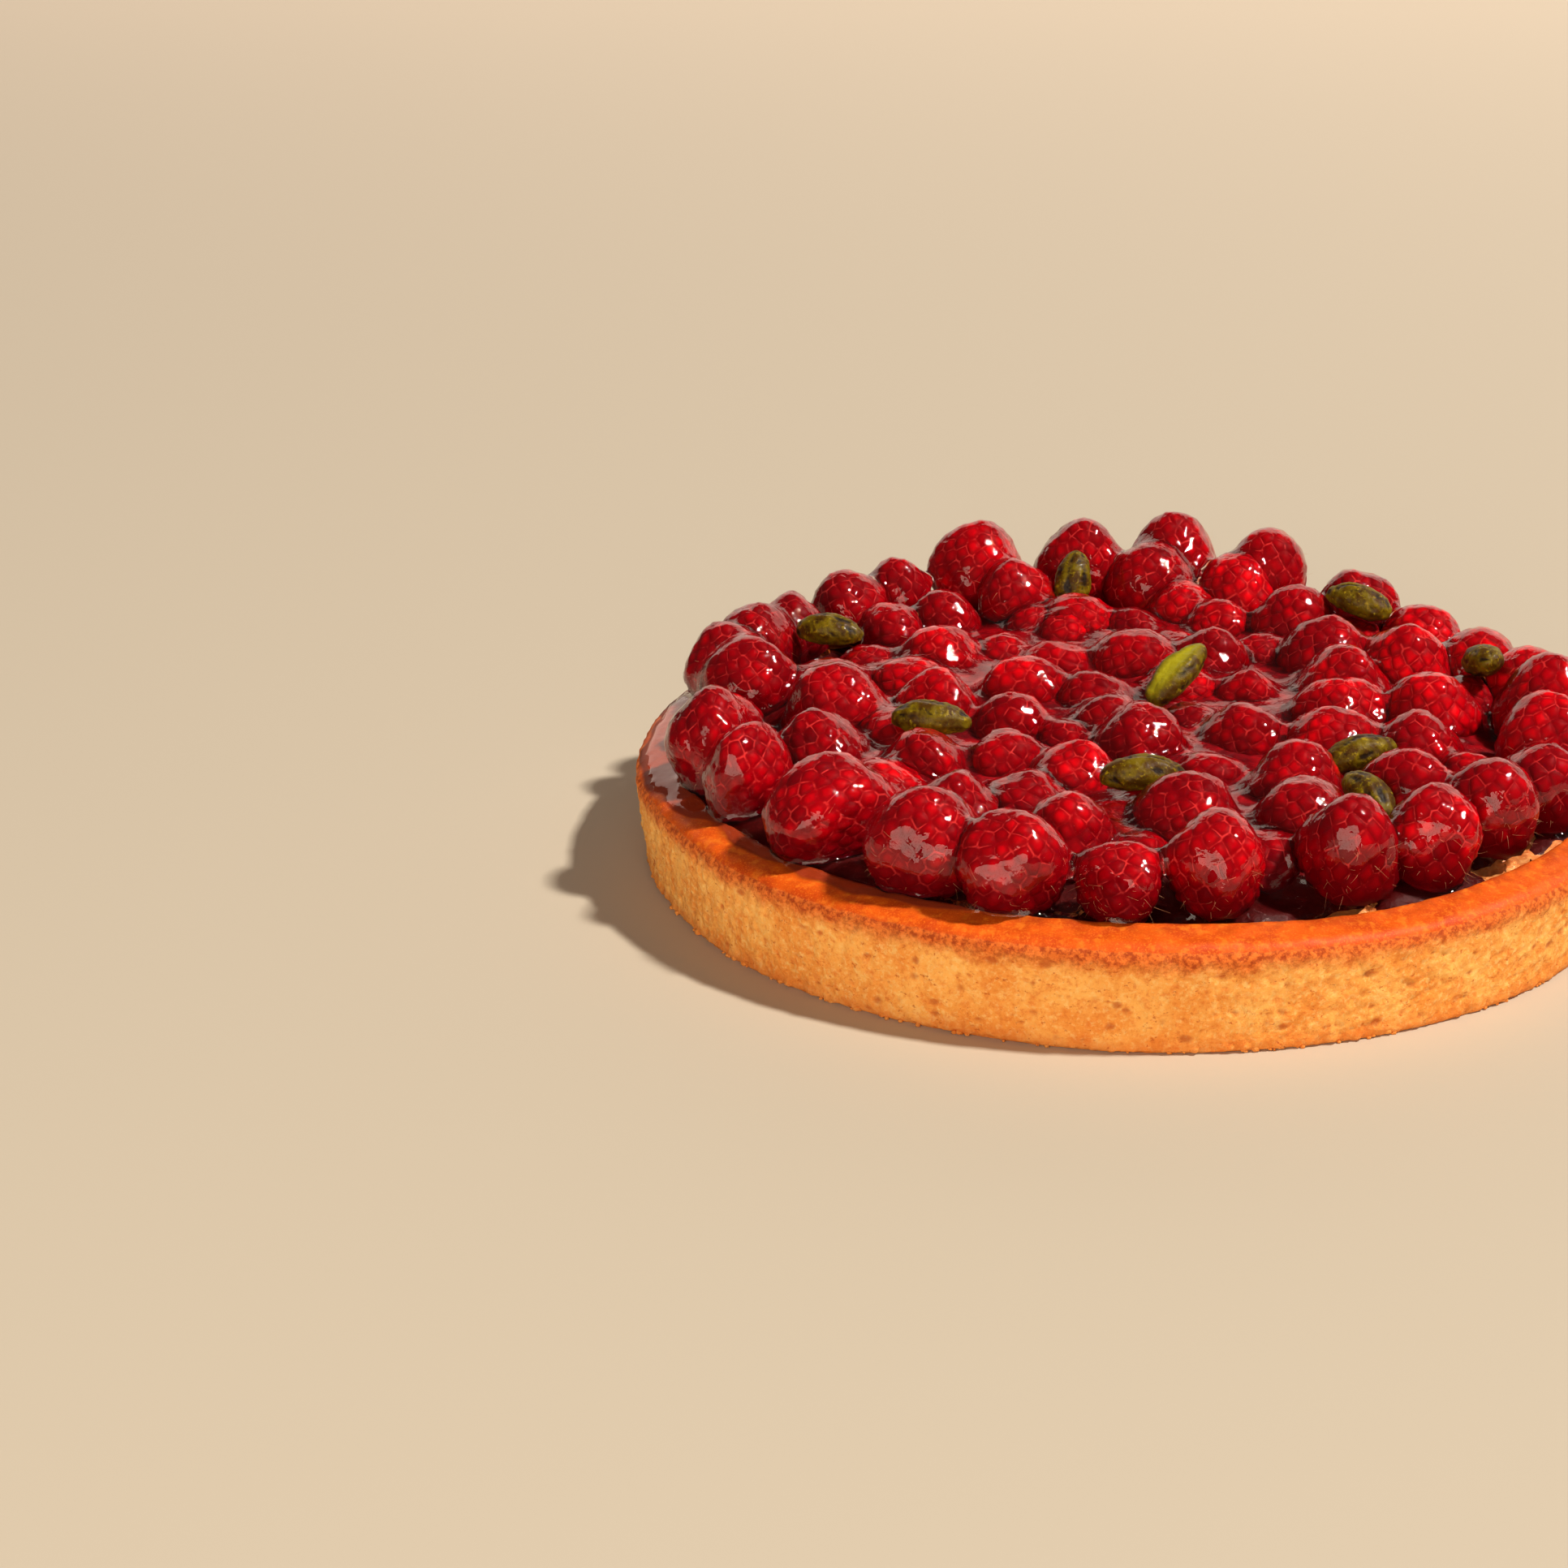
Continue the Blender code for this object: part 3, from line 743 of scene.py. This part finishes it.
def berry_seed(berry):
    return int(abs(berry.x) * 131 + abs(berry.y) * 17 + berry.width * 7)


def berry_turn(berry):
    """How the drupelets of a raspberry are turned round its own axis."""
    return np.array(Matrix.Rotation(random.Random(berry_seed(berry)).uniform(0, math.tau), 3, "Z"))


def lumps(directions, berry):
    """Uneven swelling of a raspberry towards each direction, as a share of its size."""
    return LUMP * (ripple(directions, LUMP_SIZE, berry_seed(berry), 8) - LUMP_SINK)


def cell_count(berry):
    area = math.pi * (berry.length or berry.width) * (berry.width + berry.height) / 2
    return 10 * round(area / (0.866 * DRUPELET ** 2) / 10)


def cell_middles(count):
    """Directions of the drupelets of a raspberry with that many, spread evenly with a little unrest."""
    rng = np.random.default_rng(count)
    k = np.arange(count) + 0.5
    polar = np.arccos(1 - 2 * k / count)
    turn = math.pi * (1 + math.sqrt(5)) * k
    middles = as_points(np.cos(turn) * np.sin(polar), np.sin(turn) * np.sin(polar), np.cos(polar))
    middles += rng.normal(scale=DRUPELET_UNREST / math.sqrt(count), size=middles.shape)
    return middles / np.linalg.norm(middles, axis=1)[:, None]


def sphere_cells(count, border, rings, lowest):
    """A unit sphere split into cells like drupelets.

    It gives directions, how far out in its cell each lies, measured round and along the border, then
    triangles and their cells. Cells below the lowest height, which are hidden, have only their border.
    """
    hull = bmesh.new()
    for place in cell_middles(count):
        hull.verts.new(place)
    hull.verts.ensure_lookup_table()
    hull.verts.index_update()
    bmesh.ops.convex_hull(hull, input=hull.verts[:])
    hull.faces.ensure_lookup_table()
    hull.faces.index_update()
    spots, shares, borders, triangles, cells = [], [], [], [], []
    corners = {}

    def corner_of(face):
        if face.index not in corners:
            a, b, c = (vert.co for vert in face.verts)
            normal = (b - a).cross(c - a).normalized()
            if normal.dot(a) < 0:
                normal.negate()
            corners[face.index] = add(normal, 1.0, 1.0)
        return corners[face.index]

    def add(direction, share, border_share):
        spots.append(tuple(direction.normalized()))
        shares.append(share)
        borders.append(border_share)
        return len(spots) - 1

    middles = {}
    for cell, vert in enumerate(hull.verts):
        around = ordered_faces(vert)
        edge_ids = []
        for this, after in zip(around, around[1:] + around[:1]):
            first, second = corner_of(this), corner_of(after)
            edge_ids.append(first)
            if border > 1:
                key = tuple(sorted((first, second)))
                if key not in middles:
                    middles[key] = add((Vector(spots[first]) + Vector(spots[second])) / 2, 1.0, 1.0)
                edge_ids.append(middles[key])
        centre = vert.co.normalized()
        steps = [] if centre.z < lowest else rings
        reach = [(Vector(spots[e]) - centre).length for e in edge_ids]
        inner = min(reach)
        loops = [[add(centre.lerp(Vector(spots[e]), t), min(1.0, t * far / inner), t)
                  for e, far in zip(edge_ids, reach)] for t in steps] + [edge_ids]
        middle = add(centre, 0.0, 0.0)
        size = len(edge_ids)
        for j in range(size):
            n = (j + 1) % size
            triangles.append((middle, loops[0][j], loops[0][n]))
            cells.append(cell)
            for low, high in zip(loops, loops[1:]):
                triangles.append((low[j], high[j], high[n]))
                triangles.append((low[j], high[n], low[n]))
                cells += [cell, cell]
    hull.free()
    return np.array(spots), np.array(shares), np.array(borders), np.array(triangles), np.array(cells)


def ordered_faces(vert):
    """The faces round a vertex of a closed triangle mesh, anticlockwise seen from outside."""
    start = vert.link_loops[0]
    around, loop = [], start
    while True:
        around.append(loop.face)
        loop = loop.link_loop_prev.link_loop_radial_next
        if loop is start:
            break
    return around


def berry_surface(directions, berry):
    """Where directions from its middle meet the smooth outer shape of a raspberry, and its half sizes."""
    half = half_sizes(berry)
    depth = np.clip(-directions[:, 2], 0.0, 0.999)
    foot = (1 - depth ** FOOT_POWER) ** (1 / FOOT_POWER) / np.sqrt(1 - depth ** 2)
    narrow = foot * (1 - BERRY_TAPER * np.clip(directions[:, 2], 0.0, 1.0))
    swollen = directions * (1 + lumps(directions, berry))[:, None]
    return swollen * half * np.stack([narrow, narrow, np.ones_like(narrow)], axis=1), half


def set_in_heap(spots, berry):
    """Points round the middle of a raspberry, turned and moved to its place, clear of the crust."""
    heading = math.radians(berry.heading)
    ahead = np.array([math.cos(heading), math.sin(heading), 0])
    across = np.array([-math.sin(heading), math.cos(heading), 0])
    middle = np.array([berry.x, berry.y, BERRY_BASE + berry.lift + berry.height / 2])
    points = middle + spots[:, :1] * ahead + spots[:, 1:2] * across + spots[:, 2:] * [0, 0, 1]
    points[:, 2] = np.clip(points[:, 2], BERRY_BASE - 0.2, TOP - 0.1)
    away = np.hypot(points[:, 0], points[:, 1])
    points[:, :2] *= np.minimum(1.0, rim_limit(points[:, 2]) / away)[:, None]
    return points


def berry_arrays(berry, template):
    """Points and marks of one raspberry with its drupelets."""
    directions, shares, borders, triangles, cells = template
    directions = directions @ berry_turn(berry).T
    surface, half = berry_surface(directions, berry)
    outward = directions / half
    outward /= np.linalg.norm(outward, axis=1)[:, None]
    noise = np.random.default_rng(berry_seed(berry))
    count = cells.max() + 1
    swell = noise.normal(0.0, DRUPELET_SWELLING, count)
    owner = np.zeros(len(shares), dtype=int)
    owner[triangles[:, 0]] = cells
    owner[triangles[:, 1]] = cells
    dome = np.sqrt(np.clip(1 - (0.97 * shares) ** 2, 0, 1)) - 1
    lift = DRUPELET_BUMP * dome + swell[owner] * (1 - shares) - DRUPELET_SINK
    points = set_in_heap(surface + outward * lift[:, None], berry)
    base = noise.uniform(*BERRY_TINTS)
    tint = np.clip(base + noise.normal(0.0, DRUPELET_TINT, count), 0, 1)
    return points, triangles, (borders + shares) / 2, tint[cells]


def make_berries(name, berries, detail, look):
    points, faces, edges, tints = [], [], [], []
    start = 0
    templates = {}
    for berry in berries:
        count = cell_count(berry)
        if count not in templates:
            templates[count] = sphere_cells(count, *detail)
        spots, triangles, edge, tint = berry_arrays(berry, templates[count])
        points.append(spots)
        faces.append(triangles + start)
        edges.append(edge)
        tints.append(tint)
        start += len(spots)
    marks = {"edge": np.concatenate(edges), "tint": np.concatenate(tints)}
    item = new_mesh(name, np.vstack(points), np.vstack(faces), marks)
    return finish_piece(item, look)


# Glaze

def pool_level(x, y):
    """Height of the juice and glaze between the raspberries; by the rim some of the filling stays bare."""
    away, wet = np.hypot(x, y), wet_side(np.arctan2(y, x))
    places = as_points(x, y)
    by_rim = POOL_BY_RIM + WET_RISE * wet
    level = by_rim + (BERRY_BASE + POOL_HEIGHT - by_rim) * blend(*POOL_SLOPE, away)
    level += 0.5 * ripple(places, 14, 41).reshape(x.shape)
    bare = blend(-0.1, 0.6, ripple(places, 15, 44).reshape(x.shape))
    return level - BARE_DROP * bare * blend(0.8, 0.45, wet) * blend(*BARE_ZONE, away)


def film_edge(x, y):
    """How far out the glaze reaches on the rim: all over it on the left, and hardly elsewhere."""
    turn = np.degrees(np.arctan2(y, x)) % 360
    places = as_points(x, y)
    spread = sum(far * blend(end, full, np.abs(turn - middle)) for far, middle, end, full in RIM_FILMS)
    return INNER_RADIUS - 1.0 + spread + 1.2 * ripple(places, 15, 42).reshape(x.shape)


def glaze_level(x, y):
    """Height of the flat glaze: the pool in the crust, and the film on its rim."""
    away, edge = np.hypot(x, y), film_edge(x, y)
    rim = rim_top(away, np.arctan2(y, x)) - 1.5 + 1.85 * blend(edge + 1.2, edge - 1.2, away)
    rim -= 30 * blend(GLAZE_RADIUS - 1.5, GLAZE_RADIUS, away)
    return np.where(away > INNER_RADIUS - 0.4, rim, pool_level(x, y))


def glaze_field(berries):
    """Grid lines and the field that is below zero inside the glaze."""
    step = GLAZE_STEP * 1
    flat = np.arange(-GLAZE_RADIUS - step, GLAZE_RADIUS + step, step)
    up = np.arange(GLAZE_FLOOR, GLAZE_ROOM, step)
    total = np.full((len(flat), len(flat), len(up)), 1e-30)
    for berry in berries:
        add_berry(total, flat, up, berry)
    level = glaze_level(*np.meshgrid(flat, flat, indexing="ij"))
    for k, z in enumerate(up):
        total[:, :, k] += np.exp(np.clip(-(z - level) / GLAZE_BLEND, -60, 40))
    return flat, up, -GLAZE_BLEND * np.log(total)


def rim_top(away, angle):
    """Height of the top of the rim of the crust."""
    inside = CRUST_HEIGHT + RIM_WAVE * waves(SEED + 1, *RIM_WAVES)(angle)
    slope = RIM_SLOPE * np.clip((away - INNER_RADIUS - LIP) / (WALL - LIP - SHOULDER), 0, 1)
    drop = np.clip(away - (RIM_RADIUS - SHOULDER), 0, SHOULDER - 0.01)
    return inside - slope - (SHOULDER - np.sqrt(SHOULDER ** 2 - drop ** 2)) - 0.25


def add_berry(total, flat, up, berry):
    """Add one raspberry's share to the field; the film thins out low on the outer side."""
    half = half_sizes(berry)
    reach = half[0] + FILM_REACH
    middle_z = BERRY_BASE + berry.lift + half[2]
    a = slice(np.searchsorted(flat, berry.x - reach), np.searchsorted(flat, berry.x + reach))
    b = slice(np.searchsorted(flat, berry.y - reach), np.searchsorted(flat, berry.y + reach))
    c = slice(0, np.searchsorted(up, middle_z + half[2] + FILM_REACH))
    x, y, z = np.meshgrid(flat[a], flat[b], up[c], indexing="ij")
    heading = math.radians(berry.heading)
    dx, dy, dz = x - berry.x, y - berry.y, z - middle_z
    along = dx * math.cos(heading) + dy * math.sin(heading)
    across = dy * math.cos(heading) - dx * math.sin(heading)
    narrow = 1 - BERRY_TAPER * np.clip(dz / half[2], 0, 1)
    u, v, w = along / (half[0] * narrow), across / (half[1] * narrow), dz / half[2]
    inner = np.sqrt(u * u + v * v + w * w) + 1e-6
    slope = np.sqrt((u / half[0]) ** 2 + (v / half[1]) ** 2 + (w / half[2]) ** 2) + 1e-6
    ways = as_points(u / inner, v / inner, w / inner)
    distance = inner * (inner - 1 - lumps(ways, berry).reshape(x.shape)) / slope
    near = np.abs(distance) < 3
    distance[near] += drupelet_dip(ways[near.ravel()], berry)
    patchy = ripple(as_points(x, y, z), 7, 43, 10).reshape(x.shape)
    low = FILM_LOW - FILM_LOWER_WHERE_WET * wet_side(np.arctan2(y, x)) + 2.5 * patchy
    outer = blend(82, 90, np.hypot(x, y))
    film = FILM - (FILM + FILM_BARE) * outer * blend(low + 5, low - 2, z)
    total[a, b, c] += np.exp(np.clip(-(distance - film) / GLAZE_BLEND, -60, 40))


def drupelet_dip(ways, berry):
    """How far the glaze sinks towards the joints between the drupelets under it."""
    middles = cell_middles(cell_count(berry))
    nearest = np.max((ways @ berry_turn(berry)) @ middles.T, axis=1)
    cell_radius = 2 / math.sqrt(len(middles))
    return FILM_RELIEF * np.minimum(1.5, (2 - 2 * nearest) / cell_radius ** 2)


def surface_nets(flat, up, field):
    """The surface where the field is zero, as points and quads."""
    inside = field < 0
    inside[0], inside[-1], inside[:, 0], inside[:, -1] = False, False, False, False
    inside[:, :, 0], inside[:, :, -1] = False, False
    field = np.where(inside, field, np.maximum(field, 1e-4))
    shape = np.array(field.shape) - 1
    sums = np.zeros((*shape, 3), dtype=np.float32)
    counts = np.zeros(shape, dtype=np.float32)
    corners = [(i, j, k) for i in (0, 1) for j in (0, 1) for k in (0, 1)]

    def part(array, offset):
        return array[offset[0]:offset[0] + shape[0], offset[1]:offset[1] + shape[1],
                     offset[2]:offset[2] + shape[2]]
    for first in corners:
        for axis in range(3):
            if first[axis]:
                continue
            second = tuple(c + (n == axis) for n, c in enumerate(first))
            low, high = part(field, first), part(field, second)
            crossing = (low < 0) != (high < 0)
            share = np.where(crossing, low / np.where(crossing, low - high, 1.0), 0.0)
            for n in range(3):
                sums[..., n] += crossing * (first[n] + (share if n == axis else 0.0))
            counts += crossing
    active = counts > 0
    index = np.full(shape, -1, dtype=np.int64)
    index[active] = np.arange(active.sum())
    cell = np.argwhere(active)
    spots = cell + sums[active] / counts[active][:, None]
    step = flat[1] - flat[0]
    points = spots * step + np.array([flat[0], flat[0], up[0]])
    quads = []
    for axis in range(3):
        others = [n for n in range(3) if n != axis]
        low = np.take(inside, range(inside.shape[axis] - 1), axis=axis)
        high = np.take(inside, range(1, inside.shape[axis]), axis=axis)
        edges = np.argwhere(low != high)
        keep = np.all([(edges[:, n] > 0) & (edges[:, n] < shape[n]) for n in others], axis=0)
        edges = edges[keep]
        outgoing = low[tuple(edges.T)]
        around = []
        for i, j in ((-1, -1), (0, -1), (0, 0), (-1, 0)):
            offset = np.zeros(3, dtype=int)
            offset[others[0]], offset[others[1]] = i, j
            around.append(index[tuple((edges + offset).T)])
        face = np.stack(around, axis=1)
        flip = outgoing if axis != 1 else ~outgoing
        face[~flip] = face[~flip][:, ::-1]
        quads.append(face)
    return points, np.vstack(quads)


def close_below(item):
    """Close the open underside with one face, and drop points that nothing uses."""
    with opened(item) as shell:
        bmesh.ops.delete(shell, geom=[v for v in shell.verts if not v.link_faces], context="VERTS")
        bmesh.ops.contextual_create(shell, geom=[edge for edge in shell.edges if edge.is_boundary])


def make_glaze(berries):
    flat, up, field = glaze_field(berries)
    points, quads = surface_nets(flat, up, field)
    hidden = np.all(points[quads][:, :, 2] < FILLING_TOP - 0.4, axis=1)
    still = blend(2.0, 0.3, points[:, 2] - glaze_level(points[:, 0], points[:, 1]))
    item = new_mesh("glaze", points, quads[~hidden], {"still": still})
    close_below(item)
    item.visible_shadow = False
    return finish_piece(item, glaze_look())


# Pistachios

def heap_height(x, y, berries):
    """Height of the top of the heap over x, y, as in the part."""
    top = BERRY_BASE + CORE_HEIGHT
    for berry in berries:
        off = math.hypot(x - berry.x, y - berry.y) / ((berry.length or berry.width) / 2)
        if off < 1:
            half = berry.height / 2
            top = max(top, BERRY_BASE + berry.lift + half * (1 + math.sqrt(1 - off * off)))
    return top


def nut_grid(rings, sides):
    """Places along a pistachio, without its two ends, and angles round it."""
    return (np.arange(1, rings) / rings)[:, None], (math.tau * np.arange(sides) / sides)[None, :]


def nut_points(nut, grid, dent):
    """Points of a pistachio along X, with a dent in its depth, and then its two ends."""
    t, angle = grid
    girth = np.sin(math.pi * t) ** NUT_BLUNTNESS * (NUT_BUTT - NUT_NARROWING * t)
    y = NUT_WIDTH / 2 * girth * np.cos(angle)
    z = NUT_BEND * np.sin(math.pi * t) + NUT_DEPTH / 2 * girth * (1 - dent) * np.sin(angle)
    x = nut.length * (t - 0.5)
    ends = [[-nut.length / 2, 0, 0], [nut.length / 2, 0, 0]]
    return np.vstack([as_points(x, y, z), ends])


def nut_rest(nut, turn, berries):
    """Height of the middle of a pistachio that is let down on to the heap, as in the part."""
    groove = (1 - NUT_GROOVE) * (np.arange(NUT_SIDES) == NUT_SIDES // 4)
    points = nut_points(nut, nut_grid(NUT_RINGS, NUT_SIDES), groove) @ turn.T
    return max(heap_height(nut.x + x, nut.y + y, berries) - z for x, y, z in points) + GAP


def make_nut(number, nut, berries, look):
    turn = np.array(Matrix.Rotation(math.radians(nut.heading), 3, "Z") @ Matrix.Rotation(
        math.radians(-nut.tilt), 3, "Y"))
    split = number == SPLIT_NUT
    width, depth = SPLIT if split else SEAM
    t, angle = grid = nut_grid(FINE_NUT_RINGS, FINE_NUT_SIDES)
    seam = np.exp(-((angle - math.pi / 2) / width) ** 2)
    spots = nut_points(nut, grid, depth * seam * np.sin(math.pi * t) ** 0.7)
    wrinkle = ripple(spots * [0.35, 1, 1], 2.2, 60 + number) * 0.16 + ripple(spots, 1.1, 80 + number) * 0.07
    outward = spots - [0, 0, 0.4]
    outward[:, 0] *= 0.15
    outward /= np.linalg.norm(outward, axis=1)[:, None] + 1e-6
    spots += outward * (wrinkle - 0.18)[:, None]
    points = spots @ turn.T + [nut.x, nut.y, nut_rest(nut, turn, berries)]
    rings, sides = FINE_NUT_RINGS - 1, FINE_NUT_SIDES
    inside = np.append((seam * np.sin(math.pi * t) ** 0.5).ravel() * (1.0 if split else 0.0), [0, 0])
    crease = np.append((seam * (0 if split else 0.35) + 0 * t).ravel(), [0, 0]) + blend(0.1, -0.35, wrinkle)
    marks = {"inside": np.clip(inside * 1.4, 0, 1), "crease": crease}
    item = new_mesh(f"nut_{number}", points, ring_quads(rings, sides), marks)
    close_ends(item, rings, sides)
    finish_piece(item, look)
    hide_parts(f"pistachio_{number}")
    return item


# Hairs

def make_hairs(berries):
    """The fine pale hairs on the unglazed lower part of the raspberries by the rim."""
    rng = np.random.default_rng(SEED)
    edge = [b for b in berries if math.hypot(b.x, b.y) > INNER_LIMIT]
    turns = [math.tau * j / HAIR_SIDES for j in range(HAIR_SIDES)]
    points = []
    for _ in range(HAIR_COUNT):
        berry = edge[rng.integers(len(edge))]
        direction = rng.normal(size=3)
        direction[:2] += 0.9 * np.array([berry.x, berry.y]) / math.hypot(berry.x, berry.y)
        direction[2] = rng.uniform(-0.8, 0.35) * np.linalg.norm(direction[:2])
        direction /= np.linalg.norm(direction)
        surface, _ = berry_surface(direction[None, :], berry)
        root = set_in_heap(surface * 0.965, berry)[0]
        bend = rng.normal(size=3) * 0.7
        length = rng.uniform(*HAIR_LENGTHS)
        side = np.cross(direction, rng.normal(size=3))
        side /= np.linalg.norm(side)
        third = np.cross(direction, side)
        for t in np.linspace(0, 1, HAIR_STEPS + 1):
            middle = root + length * t * (direction * 0.55 + bend * t)
            thick = HAIR_THICKNESS * (1 - 0.7 * t)
            points += [middle + thick * (side * math.cos(a) + third * math.sin(a)) for a in turns]
    quads = ring_quads(HAIR_STEPS + 1, HAIR_SIDES)
    faces = [quads + start for start in range(0, len(points), (HAIR_STEPS + 1) * HAIR_SIDES)]
    item = new_mesh("berry_hairs", np.array(points), np.vstack(faces))
    return finish_piece(item, hair_look())


# Stage

def make_camera():
    """The photo's view, found from the curves of the base, the rim and the tops of the raspberries."""
    elevation = math.radians(CAMERA_ELEVATION)
    camera = bpy.data.objects.new("camera", bpy.data.cameras.new("camera"))
    camera.data.lens = LENS
    camera.data.sensor_width = SENSOR
    camera.data.clip_start = 0.01
    camera.location = (0, -CAMERA_DISTANCE * math.cos(elevation), CAMERA_DISTANCE * math.sin(elevation))
    camera.rotation_euler = (math.pi / 2 - math.radians(CAMERA_PITCH), 0, math.radians(CAMERA_YAW))
    bpy.context.scene.collection.objects.link(camera)
    bpy.context.scene.camera = camera


def area_lamp(name, place, size, glow, colour):
    """A rectangular lamp; its glow is how bright its face looks, with 1 for white in full light."""
    lamp = bpy.data.lights.new(name, "AREA")
    lamp.shape = "RECTANGLE"
    lamp.size, lamp.size_y = size
    lamp.energy = glow * math.pi * size[0] * size[1]
    lamp.color = colour
    item = bpy.data.objects.new(name, lamp)
    item.location = place
    item.rotation_euler = (Vector(LIT_MIDDLE) - Vector(place)).to_track_quat("-Z", "Y").to_euler()
    item.visible_camera = False
    bpy.context.scene.collection.objects.link(item)


def make_stage():
    bpy.ops.mesh.primitive_circle_add(vertices=96, radius=FLOOR_RADIUS, fill_type="NGON", location=(0, 0, 0))
    floor = bpy.context.object
    floor.name = "floor"
    floor.data.materials.append(floor_look())
    area_lamp("key", (3.32, -0.32, 4.76), (0.44, 0.44), 700, (1.0, 0.93, 0.84))
    area_lamp("card_front", (-0.25, -1.3, 0.36), (1.5, 0.75), 3.9, (1.0, 0.85, 0.7))
    area_lamp("card_back", (0.1, 1.4, 0.48), (2.6, 0.9), 1.15, (1.0, 0.8, 0.68))
    world = bpy.data.worlds.new("studio")
    world.use_nodes = True
    background = world.node_tree.nodes["Background"].inputs
    background["Color"].default_value = srgb(255, 246, 236)
    background["Strength"].default_value = 0.05
    scene = bpy.context.scene
    scene.world = world
    scene.view_settings.view_transform = "Standard"
    scene.view_settings.look = "None"


def main():
    berries = all_berries()
    make_camera()
    crust, raspberry, nut_skin = crust_look(), berry_look(), nut_look()
    make_crust(crust)
    make_crumbs(crust)
    make_filling()
    seen, other = berries[:len(SEEN)], berries[len(SEEN):]
    front = len(FRONT_EDGE) + len(SECOND_ROW)
    middle = front + len(MIDDLE)
    pieces = [make_core(), make_berries("berries_front", seen[:front], NEAR_DETAIL, raspberry),
              make_berries("berries_middle", seen[front:middle], MIDDLE_DETAIL, raspberry),
              make_berries("berries_back", seen[middle:], MIDDLE_DETAIL, raspberry),
              make_berries("berries_other", other, FAR_DETAIL, raspberry)]
    for piece in pieces:
        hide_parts("raspberries")
    make_glaze(berries)
    for number, nut in enumerate(NUTS, start=1):
        make_nut(number, nut, berries, nut_skin)
    make_hairs(berries)
    make_stage()


main()
